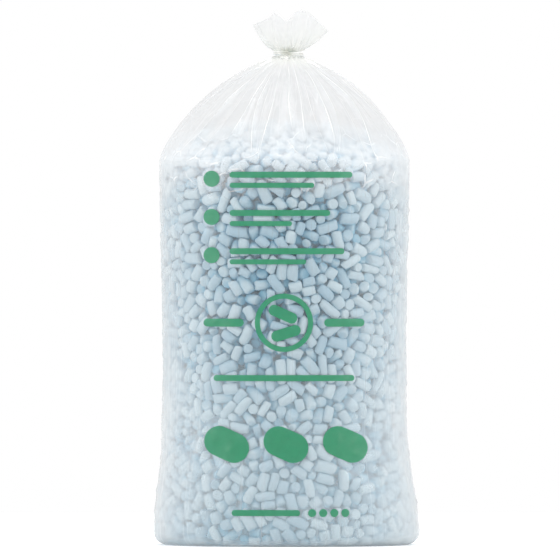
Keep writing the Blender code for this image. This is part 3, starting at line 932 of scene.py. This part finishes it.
def hugChips(points, zones, trees):
    # the film rests on the chips' crests and spans the gaps between them, as a stretched skin does
    normals = filmNormals(points)
    last = np.nonzero(zones == "tent")[0][hug["tentRows"]]
    hit = np.full(points.shape[:2], -hug["nothing"])
    for i in range(film["floorRows"] + hug["freeRows"], last):
        for j in range(points.shape[1]):
            start = Vector(points[i, j] + normals[i, j] * hug["look"])
            way = Vector(-normals[i, j])
            for tree in trees:
                place, _, _, distance = tree.ray_cast(start, way, hug["lookRange"])
                if place is not None:
                    hit[i, j] = max(hit[i, j], hug["look"] - distance)
    floor = np.clip(hit + hug["clearance"], -hug["mostIn"], hug["mostOut"])
    heights = points[:, :, 2].mean(axis=1)
    hold = rising(heights, *hug["foot"]) * (1 - rising(heights, *hug["top"]))
    offset = floor.copy()
    for _ in range(hug["rounds"]):
        spread = (np.roll(offset, 1, axis=1) + np.roll(offset, -1, axis=1)) * hug["around"]
        spread[1:-1] += (offset[2:] + offset[:-2]) * hug["along"]
        spread[0], spread[-1] = offset[0], offset[-1]
        offset = np.maximum(floor, spread - hug["give"])
    offset *= hold[:, None]
    points = points + normals * offset[:, :, None]
    points[:, :, 2] = np.maximum(points[:, :, 2], 0.0)
    return points, offset - hit * hold[:, None]


def tuckChips(pieces):
    # foam that would stand through the film is pressed flat under it
    skinPoints = [Vector(p) for p in filmPoints.reshape(-1, 3)]
    skin = BVHTree.FromPolygons(skinPoints, ringFaces(*filmPoints.shape[:2]))
    tucked = 0
    for piece in pieces:
        points = np.zeros(3 * len(piece.data.vertices), np.float32)
        piece.data.vertices.foreach_get("co", points)
        points = points.reshape(-1, 3)
        wall, _ = wallDistance(points)
        for k in np.nonzero(wall < hug["tuckReach"])[0]:
            point = Vector(points[k].tolist())
            place, normal, _, _ = skin.find_nearest(point)
            if (point - place).dot(normal) > -hug["tuck"]:
                points[k] = place - normal * hug["tuck"]
                tucked += 1
        piece.data.vertices.foreach_set("co", points.ravel())
        piece.data.update()
    report(f"chip points pressed under the film {tucked}")


depsgraph = bpy.context.evaluated_depsgraph_get()
chipTrees = [BVHTree.FromObject(piece, depsgraph) for piece in packedPieces]
filmPoints, filmZones, filmFolds = layFilm()
filmPoints, filmSlack = hugChips(filmPoints, filmZones, chipTrees)
tuckChips(packedPieces)

filmLook = {
    # film colours: the blue of body and shoulder is painted light from the chips behind, crease is a painted
    # highlight and shade a painted shade
    "clear": (0.826, 0.826, 0.828), "body": (0.74, 0.855, 0.92), "shoulder": (0.90, 0.93, 0.955),
    "crease": (1.0, 1.0, 1.0), "cream": (0.95, 0.95, 0.905), "mouth": (0.93, 0.935, 0.94),
    "shade": (0.42, 0.44, 0.34), "edgeOn": (0.90, 0.905, 0.91), "edgeShare": 1.1, "facing": 0.42,
    "creaseHighlight": 0.48, "creasePower": 1.7, "creaseGain": 1.3, "lightPass": 0.14,
    "cloudScale": 9.0, "cloudBody": 0.9, "cloudTent": 0.35, "patchScale": 28.0, "patches": 1.1,
    "fineLines": {"scale": (70.0, 2.6, 1.0), "turn": 0.0, "detail": 2.0, "middle": 0.5, "sharpness": 34.0},
    "bodyStreaks": {"scale": (34.0, 0.9, 1.0), "turn": 0.02, "detail": 1.0, "middle": 0.56, "sharpness": 40.0},
    "fineLineHighlight": 0.12, "streakHighlight": 0.14, "bandFade": 0.7, "crinkleFade": 0.93,
    "crinkleCells": (34.0, 15.0, 1.0), "crinkleWidth": 0.045, "crinkles": 0.95, "crinkleBend": 0.014,
    "swayScale": 22.0, "breakScale": 19.0, "breakLevel": 0.475, "breakGain": 7.0,
    "roughness": 0.22, "bump": {"Strength": 0.25, "Distance": 0.003},
}
filmVeil = {
    # how milky each wall of the film is, from the foot up
    "heights": [
        (0.0, 0.20), (0.10, 0.22), (0.34, 0.18), (0.50, 0.09), (0.70, 0.035), (0.90, 0.035),
        (0.95, 0.08), (0.99, 0.16), (1.03, 0.27), (1.06, 0.31), (1.10, 0.36), (1.14, 0.40),
        (1.20, 0.38), (1.32, 0.34), (1.36, 0.28), (1.46, 0.28),
    ],
    "drift": [(0.016, 7, 30, 0), (0.012, 13, -41, 1)],   # reach, waves round the sack, waves up it, start
    "slackDepth": 0.02, "slackVeil": 0.06, "gatherVeil": 0.08, "shadeVeil": 0.3,
    "gatherAbove": 0.060, "gatherBelow": 0.030, "tent": (1.02, 0.13), "shoulder": (0.91, 0.08),
    "shadePlace": (-0.001, 0.006), "shadeSize": (0.018, 0.008), "shadeShare": 0.55,
}


def filmValues():
    # what the film's material reads at each point
    heights = filmPoints[:, :, 2]
    aboveNeck = heights - sack["neckHeight"]
    gatherReach = np.where(aboveNeck > 0, filmVeil["gatherAbove"], filmVeil["gatherBelow"])
    gather = np.exp(-(aboveNeck / gatherReach) ** 2)
    tent, shoulder = rising(heights, *filmVeil["tent"]), rising(heights, *filmVeil["shoulder"])
    rim = np.zeros(heights.shape)
    rim[-1] = 1.0
    # painted shade in the deep folds just over the knot
    x, y = filmPoints[:, :, 0] - sack["neckOffset"], filmPoints[:, :, 1]
    (placeX, placeZ), (sizeX, sizeZ) = filmVeil["shadePlace"], filmVeil["shadeSize"]
    shade = np.exp(-((x - placeX) / sizeX) ** 4 - ((aboveNeck - placeZ) / sizeZ) ** 2) * (y < 0)
    # milky where the film stands off the chips, clear where they press against it
    slack = np.clip(filmSlack / filmVeil["slackDepth"], 0, 1) * (1 - tent)
    around = np.arctan2(y, filmPoints[:, :, 0])
    drift = np.zeros(heights.shape)
    for reach, waves, up, start in filmVeil["drift"]:
        drift += reach * np.sin(waves * around + up * heights + start)
    veil = np.interp(heights + drift, *zip(*filmVeil["heights"]))
    veil += filmVeil["slackVeil"] * slack + filmVeil["gatherVeil"] * gather + filmVeil["shadeVeil"] * shade
    inMouth = np.repeat((filmZones == "mouth").astype(float)[:, None], heights.shape[1], axis=1)
    return {
        "rim": rim, "fold": filmFolds, "gather": gather, "tent": tent, "shoulder": shoulder, "mouth": inMouth,
        "shade": filmVeil["shadeShare"] * shade, "veil": veil,
    }


def makeFilmPiece():
    rows, columns = filmPoints.shape[:2]
    middle = rows * columns
    points = np.vstack([filmPoints.reshape(-1, 3), [[footShift(0.0), 0.0, 0.0]]])
    faces = ringFaces(rows, columns) + [(middle, (j + 1) % columns, j) for j in range(columns)]
    piece = meshPiece("clear_film_sack", points, faces)
    mesh = piece.data
    # film runs round the sack in u, from 0 to 1, and along it in v, in metres of film
    steps = np.linalg.norm(np.diff(filmPoints, axis=0), axis=2).mean(axis=1)
    run = np.concatenate([[0.0], np.cumsum(steps)])
    corners = np.zeros(len(mesh.loops), np.int64)
    mesh.loops.foreach_get("vertex_index", corners)
    row, column = np.minimum(corners // columns, rows - 1), corners % columns
    quad = np.arange(len(corners)) // 4
    seam = (quad < (rows - 1) * columns) & (quad % columns == columns - 1) & (column == 0)
    flow = np.stack([np.where(seam, columns, column) / columns, run[row]], axis=1)
    mesh.uv_layers.new(name="filmFlow").data.foreach_set("uv", flow.astype(np.float32).ravel())
    pointAttributes(mesh, **{name: np.append(values.ravel(), 0) for name, values in filmValues().items()})
    wall = piece.modifiers.new("wall", "SOLIDIFY")
    wall.thickness = film["wall"]
    wall.offset = -1
    return piece


def drawnLines(uv, scale, turn, detail, middle, sharpness):
    # noise that is drawn out along the film, and thin lines where it crosses a middle value
    flow = noise(mapped(uv, Scale=scale, Rotation=(0, 0, turn)), 1.0, detail, dimensions="2D")
    away = maths("ABSOLUTE", minus(flow, middle))
    return flow, inverse(times(away, sharpness), clamp=True)


def brokenCrinkles(uv, coords):
    # short crossing crinkles for painted highlights: bent cell borders that break off here and there
    sway = noise(coords, filmLook["swayScale"], 1.0, output="Color")
    bent = addNode(uv.id_data, "VectorMath", operation="MULTIPLY_ADD")
    for socket, value in zip(bent.inputs, (sway, (filmLook["crinkleBend"],) * 3, uv)):
        feed(socket, value)
    cells = addNode(uv.id_data, "TexVoronoi", voronoi_dimensions="2D", feature="DISTANCE_TO_EDGE")
    setInputs(cells, Vector=mapped(bent.outputs["Vector"], Scale=filmLook["crinkleCells"]), Scale=1.0)
    ridge = inverse(maths("DIVIDE", cells.outputs["Distance"], filmLook["crinkleWidth"]), clamp=True)
    broken = minus(noise(coords, filmLook["breakScale"], 2.0), filmLook["breakLevel"])
    return times(ridge, times(broken, filmLook["breakGain"], clamp=True))


def makeFilmMaterial():
    # thin clear film: it whitens where it is slack, gathered, or seen along its face, and painted highlights
    # run along its creases
    material, tree, surface = newMaterial("clearFilm")
    uv = addNode(tree, "UVMap", uv_map="filmFlow").outputs["UV"]
    coords = objectCoords(tree)
    tent, shoulder, inMouth, gather = readAttributes(tree, "tent", "shoulder", "mouth", "gather")
    veil, fold, rim, shade = readAttributes(tree, "veil", "fold", "rim", "shade")
    # painted highlights: fine lines along the gathers down the tent, and long faint streaks down the body,
    # here and there
    streaks, fine = drawnLines(uv, **filmLook["fineLines"])
    marks, streakLine = drawnLines(uv, **filmLook["bodyStreaks"])
    smoothTent = times(tent, inverse(inMouth))
    fineLineHighlight = times(times(fine, smoothTent), filmLook["fineLineHighlight"])
    faint = most(fineLineHighlight, times(times(streakLine, inverse(tent)), filmLook["streakHighlight"]))
    crinkleBand = times(shoulder, inverse(times(tent, filmLook["crinkleFade"])))
    crinkleHighlight = times(brokenCrinkles(uv, coords), times(crinkleBand, filmLook["crinkles"]))
    sharp = times(maths("POWER", fold, filmLook["creasePower"]), filmLook["creaseGain"], clamp=True)
    # creases, crinkles and streaks make one mask of painted highlight
    crease = most(most(sharp, crinkleHighlight), faint)
    # the haze is cloudy, with patches on the shoulder, and thicker where the film is seen along its face
    edge = setInputs(addNode(tree, "LayerWeight"), Blend=0.5).outputs["Facing"]
    swing = timesPlus(tent, filmLook["cloudTent"] - filmLook["cloudBody"], filmLook["cloudBody"])
    cloud = timesPlus(minus(noise(coords, filmLook["cloudScale"], 3.0, 0.6), 0.5), swing, 1.0)
    patches = minus(noise(coords, filmLook["patchScale"], 3.0, 0.55), 0.5)
    shoulderBand = times(shoulder, inverse(times(tent, filmLook["bandFade"])))
    cloud = timesPlus(times(patches, shoulderBand), filmLook["patches"], cloud)
    # the painted highlight also thickens the haze
    haze = timesPlus(crease, filmLook["creaseHighlight"], times(veil, cloud))
    facingShare = timesPlus(inMouth, -0.5 * filmLook["facing"], filmLook["facing"])
    haze = times(timesPlus(edge, facingShare, haze, clamp=True), inverse(rim))
    # scattered light still reaches the chips behind
    path = addNode(tree, "LightPath").outputs
    passing = most(path["Is Shadow Ray"], path["Is Diffuse Ray"])
    alpha = times(haze, timesPlus(passing, filmLook["lightPass"] - 1.0, 1.0))
    # the film's blue over the shoulder and the body is painted light from the chips behind it
    colour = mixColours(tent, filmLook["shoulder"], filmLook["clear"])
    colour = mixColours(shoulder, filmLook["body"], colour)
    edgeShare = times(edge, times(inverse(tent), filmLook["edgeShare"]))
    # the creases are painted white as highlights, and the folds over the knot get painted shade
    shares = (edgeShare, inMouth, gather, crease, shade)
    for share, name in zip(shares, ("edgeOn", "mouth", "cream", "crease", "shade")):
        colour = mixColours(share, colour, filmLook[name])
    height = maths("ADD", times(streaks, smoothTent), times(marks, 0.5))
    bump = setInputs(addNode(tree, "Bump"), Height=height, **filmLook["bump"])
    setInputs(surface, Base_Color=colour, Alpha=alpha, Normal=bump.outputs["Normal"])
    setInputs(surface, Roughness=filmLook["roughness"], Specular_IOR_Level=0.5)
    return material


filmPiece = makeFilmPiece()
finishPiece(filmPiece, makeFilmMaterial(), "film", "film_bag")
report("film sack made")

# neck tie

tie = {
    "cordRadius": 0.0026, "turns": 2, "pointsPerTurn": 90, "press": 0.95,
    "sides": 12, "strands": 3, "strandDepth": 0.14, "lay": 0.012,
    "knotSize": (0.0095, 0.0062, 0.0058), "knotPlace": (-0.011, -0.016), "knotCord": 0.0034, "knotPoints": 64,
    "knotGap": 0.0034, "loopCord": 0.8, "loopPoints": 30, "loopGap": 0.004,
    # groove is the colour of painted shade on the cord in front, by the knot
    "groove": (0.70, 0.71, 0.64), "colour": (0.98, 0.98, 0.95), "shade": (0.92, 0.92, 0.88),
    "groovePlace": -0.004, "grooveSize": 0.016, "soilScale": 120.0,
    "fibre": {"Scale": 1400.0, "Strength": 0.5, "Distance": 0.0006},
}


def cordTube(name, path, radius):
    # a laid cord along a path: its section has a lobe for each strand and turns along it
    path, sides, count = np.array(path), tie["sides"], len(path)
    ahead = np.gradient(path, axis=0)
    ahead /= np.linalg.norm(ahead, axis=1)[:, None]
    side = np.cross(ahead[0], [0.0, 0.0, 1.0])
    sideways = []
    for way in ahead:
        side = side - way * (side @ way)
        side /= np.linalg.norm(side)
        sideways.append(side.copy())
    sideways = np.array(sideways)
    third = np.cross(ahead, sideways)
    run = np.concatenate([[0.0], np.cumsum(np.linalg.norm(np.diff(path, axis=0), axis=1))])
    angle = np.arange(sides) / sides * 2 * np.pi
    strandTurn = run[:, None] / tie["lay"] * 2 * np.pi / tie["strands"]
    lobes = 1 + tie["strandDepth"] * np.cos(tie["strands"] * (angle[None, :] - strandTurn))
    order = np.arange(count)
    taper = np.clip(np.minimum(order, order[::-1]) / 2 + 0.55, 0, 1)[:, None]
    wide = radius / (1 + tie["strandDepth"]) * lobes * taper
    across = sideways[:, None, :] * (wide * np.cos(angle))[:, :, None]
    points = path[:, None, :] + across + third[:, None, :] * (wide * np.sin(angle))[:, :, None]
    faces = ringFaces(count, sides)
    last = (count - 1) * sides
    for j in range(sides):
        after = (j + 1) % sides
        faces += [(count * sides, after, j), (count * sides + 1, last + j, last + after)]
    piece = meshPiece(name, np.vstack([points.reshape(-1, 3), path[:1], path[-1:]]), faces)
    makeActive(piece)
    editMode()
    selectWhole()
    bpy.ops.mesh.normals_make_consistent(inside=False)
    objectMode()
    return piece


def tiePath():
    # twice round the neck, from the knot in front and back to it
    radius = sack["neckRadius"] + tie["cordRadius"] * tie["press"]
    turns = tie["turns"]
    steps = turns * tie["pointsPerTurn"]
    path = []
    for k in range(steps + 1):
        share = k / steps
        angle = -math.pi / 2 + 2 * math.pi * turns * share
        x, y = planPoint(radius, radius, np.array(angle))
        height = sack["neckHeight"] + tie["cordRadius"] * (2 * turns * share - turns) * tie["press"]
        path.append((float(x) + sack["neckOffset"], float(y), height))
    return path


def knotPoint(x, y, z, gap):
    # a point at the knot, in front of the wound cord
    across, up = tie["knotPlace"]
    front = -(sack["neckRadius"] + tie["cordRadius"] * 2 + gap)
    return (sack["neckOffset"] + across + x, front + y, sack["neckHeight"] + up + z)


def knotPath():
    # a tight overhand knot, closed in itself
    wide, deep, tall = tie["knotSize"]
    path = []
    for k in range(tie["knotPoints"]):
        t = 2 * math.pi * k / tie["knotPoints"]
        x = (math.sin(t) + 2 * math.sin(2 * t)) / 3 * wide
        z = (math.cos(t) - 2 * math.cos(2 * t)) / 3 * tall * 1.15
        path.append(knotPoint(x, -math.sin(3 * t) * deep * 0.55, z, tie["knotGap"]))
    return path + path[:2]


def loopPath():
    # a short loop that hangs under the knot
    path = []
    for k in range(tie["loopPoints"]):
        t = math.pi * (k / (tie["loopPoints"] - 1))
        x = -0.002 + 0.0075 * math.cos(t) + 0.002 * math.sin(2 * t)
        y = -0.001 - 0.003 * math.sin(t)
        path.append(knotPoint(x, y, -0.003 - 0.0135 * math.sin(t), tie["loopGap"]))
    return path


def makeCordMaterial():
    # off-white fibre, soiled a little, with painted shade on the front turns by the knot
    material, tree, surface = newMaterial("tieCord")
    coords = objectCoords(tree)
    groove, = readAttributes(tree, "groove")
    fibre = addGrain(surface, coords, **tie["fibre"])
    shade = timesPlus(fibre, 0.5, times(noise(coords, tie["soilScale"], 2.0), 0.5))
    colour = mixColours(groove, ramp(shade, (0.3, tie["shade"]), (0.6, tie["colour"])), tie["groove"])
    setInputs(surface, Base_Color=colour, Roughness=0.8)
    return material


cordPieces = [
    cordTube("neck_cord", tiePath(), tie["cordRadius"]),
    cordTube("neck_knot", knotPath(), tie["knotCord"]),
    cordTube("neck_loop", loopPath(), tie["cordRadius"] * tie["loopCord"]),
]
# painted shade on the cord's front turns, under the folds over the knot
windings = np.array([v.co for v in cordPieces[0].data.vertices])
grooveAway = (windings[:, 0] - sack["neckOffset"] - tie["groovePlace"]) / tie["grooveSize"]
pointAttributes(cordPieces[0].data, groove=np.exp(-grooveAway ** 4) * (windings[:, 1] < 0))
for piece in cordPieces[1:]:
    pointAttributes(piece.data, groove=0.0)
finishPiece(joinPieces(cordPieces, "wound_neck_cord"), makeCordMaterial(), "tie", "neck_tie")
report("tie made")

# printed marks, plain shapes only

inkMarks = {
    "pixel": 0.0027, "middle": 284.5, "ground": 545.0,   # the front view's scale, its middle and its floor
    "front": -0.45, "lift": 0.0016, "cell": 0.005, "sides": 36,
    "slips": (0.0, 0.0004, -0.0004, 0.001, -0.001),   # sideways steps where a point finds no film behind it
    "ink": (0.037, 0.350, 0.172), "darkInk": 0.86, "opacity": 0.88, "unevenness": 0.10, "wearScale": 40.0,
    "speckle": {"Scale": 700.0, "Strength": 0.2, "Distance": 0.0005},
    # places in pixels of the front view: marks by their left, top, right and bottom, some with a tilt
    "rows": ((172, 352), (210, 330), (248, 344)),   # top and right end of each row
    "rowDot": (212, 7, 8), "rowLeft": 230, "rowBars": ((0, 6, 0), (11, 16, 38)),
    "ring": (284, 322, 29, 24),   # middle, outer and inner radius
    "ringChips": ((268, 308, 298, 319, -0.42), (271, 327, 301, 338, 0.3)),
    "bars": ((204, 318, 244, 326), (324, 318, 364, 326), (214, 374, 354, 380)),
    "largeChips": ((204, 428, 250, 458, -0.42), (263, 428, 309, 458, -0.42), (322, 428, 368, 458, -0.42)),
    "footBar": (232, 508, 300, 514), "footDots": ((312, 511, 4), (323, 511, 4), (334, 511, 4), (345, 511, 4)),
}


def addMark(left, top, right, bottom, tilt=0.0):
    # a flat mark with round ends in front of the sack, given by its sides in pixels of the front view
    unit = inkMarks["pixel"]
    radius = (bottom - top) / 2 * unit
    half = (right - left) / 2 * unit - radius
    x = ((left + right) / 2 - inkMarks["middle"]) * unit
    place = (x, inkMarks["front"], (inkMarks["ground"] - (top + bottom) / 2) * unit)
    deselectAll()
    upright = (math.pi / 2, 0, 0)
    bpy.ops.mesh.primitive_circle_add(
        vertices=inkMarks["sides"], radius=radius, fill_type="NGON", location=place, rotation=upright)
    mark = bpy.context.object
    bpy.ops.object.transform_apply(location=True, rotation=True, scale=False)
    editMode()
    if half > 0:
        for side in (-1, 1):
            pick(mark, "verts", lambda vertex: (vertex.co.x - x) * side > 1e-5)
            bpy.ops.transform.translate(value=(side * half, 0, 0))
    if tilt:
        selectWhole()
        bpy.ops.transform.rotate(value=tilt, orient_axis="Y", center_override=place)
    objectMode()
    return mark


def addDisc(x, y, radius):
    return addMark(x - radius, y - radius, x + radius, y + radius)


def addRing(x, y, outer, inner):
    mark = addDisc(x, y, outer)
    editMode()
    selectWhole()
    bpy.ops.mesh.inset(thickness=(outer - inner) * inkMarks["pixel"])
    bpy.ops.mesh.delete(type="FACE")
    objectMode()
    return mark


def addMarks():
    marks = []
    dotX, dotDrop, dotRadius = inkMarks["rowDot"]
    for rowTop, rowRight in inkMarks["rows"]:
        marks.append(addDisc(dotX, rowTop + dotDrop, dotRadius))
        for top, bottom, short in inkMarks["rowBars"]:
            marks.append(addMark(inkMarks["rowLeft"], rowTop + top, rowRight - short, rowTop + bottom))
    marks.append(addRing(*inkMarks["ring"]))
    for sides in (*inkMarks["ringChips"], *inkMarks["bars"], *inkMarks["largeChips"], inkMarks["footBar"]):
        marks.append(addMark(*sides))
    return marks + [addDisc(*dot) for dot in inkMarks["footDots"]]


def layOnFilm(mesh):
    # each point goes straight back until it meets the film, and stays a hair in front of it
    filmTree = BVHTree.FromObject(filmPiece, bpy.context.evaluated_depsgraph_get())
    back = Vector((0.0, 1.0, 0.0))
    for vertex in mesh.vertices:
        for slip in inkMarks["slips"]:
            start = Vector((vertex.co.x + slip, -0.6, vertex.co.z + slip))
            place, _, _, _ = filmTree.ray_cast(start, back)
            if place is not None and place.y < -0.1:
                vertex.co.y = place.y - inkMarks["lift"]
                break


def makeMarks():
    # all marks as one piece, cut into small cells so that it can follow the film
    piece = joinPieces(addMarks(), "printed_marks")
    low, high = np.array(piece.bound_box).min(axis=0), np.array(piece.bound_box).max(axis=0)
    editMode()
    for axis, normal in ((0, (1, 0, 0)), (2, (0, 0, 1))):
        for line in np.arange(low[axis] + inkMarks["cell"], high[axis], inkMarks["cell"]):
            selectWhole()
            bpy.ops.mesh.bisect(plane_co=tuple(line * n for n in normal), plane_no=normal)
    objectMode()
    layOnFilm(piece.data)
    piece.data.shade_smooth()
    return piece


def makeInkMaterial():
    # green ink, a little uneven and thin enough that the film shows through
    material, tree, surface = newMaterial("greenInk")
    coords = objectCoords(tree)
    speckle = addGrain(surface, coords, **inkMarks["speckle"])
    worn = timesPlus(speckle, 0.4, times(noise(coords, inkMarks["wearScale"], 3.0, 0.6), 0.6))
    dark = tuple(inkMarks["darkInk"] * c for c in inkMarks["ink"])
    colour = ramp(worn, (0.3, dark), (0.7, inkMarks["ink"]))
    uneven = inkMarks["unevenness"]
    alpha = timesPlus(speckle, uneven, inkMarks["opacity"] - uneven / 2, clamp=True)
    setInputs(surface, Base_Color=colour, Alpha=alpha, Roughness=0.4)
    return material


finishPiece(makeMarks(), makeInkMaterial(), None)
report("marks printed")

# floor, light and camera

stage = {
    "distance": 45.0, "elevation": 0.4, "frame": 1.512, "target": (-0.012, 0.0, 0.7145), "clipEnd": 200.0,
    "floorSize": 8.0, "floor": (0.86, 0.86, 0.86), "floorGlow": 0.45, "fillLight": 0.57,
    "lamps": [   # name, place, aim, size and power
        ("leftSoftbox", (-3.4, -1.7, 1.6), (0, 0, 0.7), 1.8, 37.5),
        ("rightSoftbox", (3.4, -1.7, 1.6), (0, 0, 0.7), 1.8, 37.5),
        ("topSoftbox", (0.0, -0.8, 3.6), (0, 0, 0.9), 2.0, 31.0),
        ("backSoftbox", (0.0, 3.4, 2.6), (0, 0, 0.6), 1.6, 36.0),
    ],
}


def seenShare(tree):
    # 1 for rays that show the backdrop: from the camera, off a gloss or through something clear
    path = addNode(tree, "LightPath").outputs
    return most(path["Is Camera Ray"], most(path["Is Glossy Ray"], path["Is Transmission Ray"]))


def aimed(place, aim):
    return (Vector(aim) - Vector(place)).to_track_quat("-Z", "Y").to_euler()


def makeFloor():
    deselectAll()
    bpy.ops.mesh.primitive_plane_add(size=stage["floorSize"], location=(0, 0, 0))
    floor = bpy.context.object
    floor.name = "studio_floor"
    material, tree, surface = newMaterial("studioFloor")
    setInputs(surface, Base_Color=stage["floor"], Roughness=0.9, Emission_Color=(1, 1, 1))
    setInputs(surface, Emission_Strength=times(seenShare(tree), stage["floorGlow"]))
    floor.data.materials.append(material)
    return floor


def lightWorld():
    # white where it is seen, and a soft fill everywhere else
    world = bpy.data.worlds.new("studio")
    bpy.context.scene.world = world
    world.use_nodes = True
    strength = timesPlus(seenShare(world.node_tree), 1.0 - stage["fillLight"], stage["fillLight"])
    setInputs(world.node_tree.nodes["Background"], Color=(1, 1, 1), Strength=strength)


def addLamp(name, place, aim, size, power):
    bpy.ops.object.light_add(type="AREA", location=place, rotation=aimed(place, aim))
    lamp = bpy.context.object
    lamp.name = name
    lamp.data.size = size
    lamp.data.energy = power


def addCamera():
    angle = math.radians(stage["elevation"])
    target = Vector(stage["target"])
    place = target + Vector((0, -math.cos(angle), math.sin(angle))) * stage["distance"]
    bpy.ops.object.camera_add(location=place, rotation=aimed(place, target))
    camera = bpy.context.object
    camera.data.sensor_width = 36.0
    camera.data.lens = camera.data.sensor_width * stage["distance"] / stage["frame"]
    camera.data.clip_end = stage["clipEnd"]
    bpy.context.scene.camera = camera


makeFloor()
lightWorld()
for lamp in stage["lamps"]:
    addLamp(*lamp)
addCamera()
bpy.context.scene.cycles.transparent_max_bounces = 40
bpy.context.scene.view_settings.view_transform = "Standard"
report("stage set")
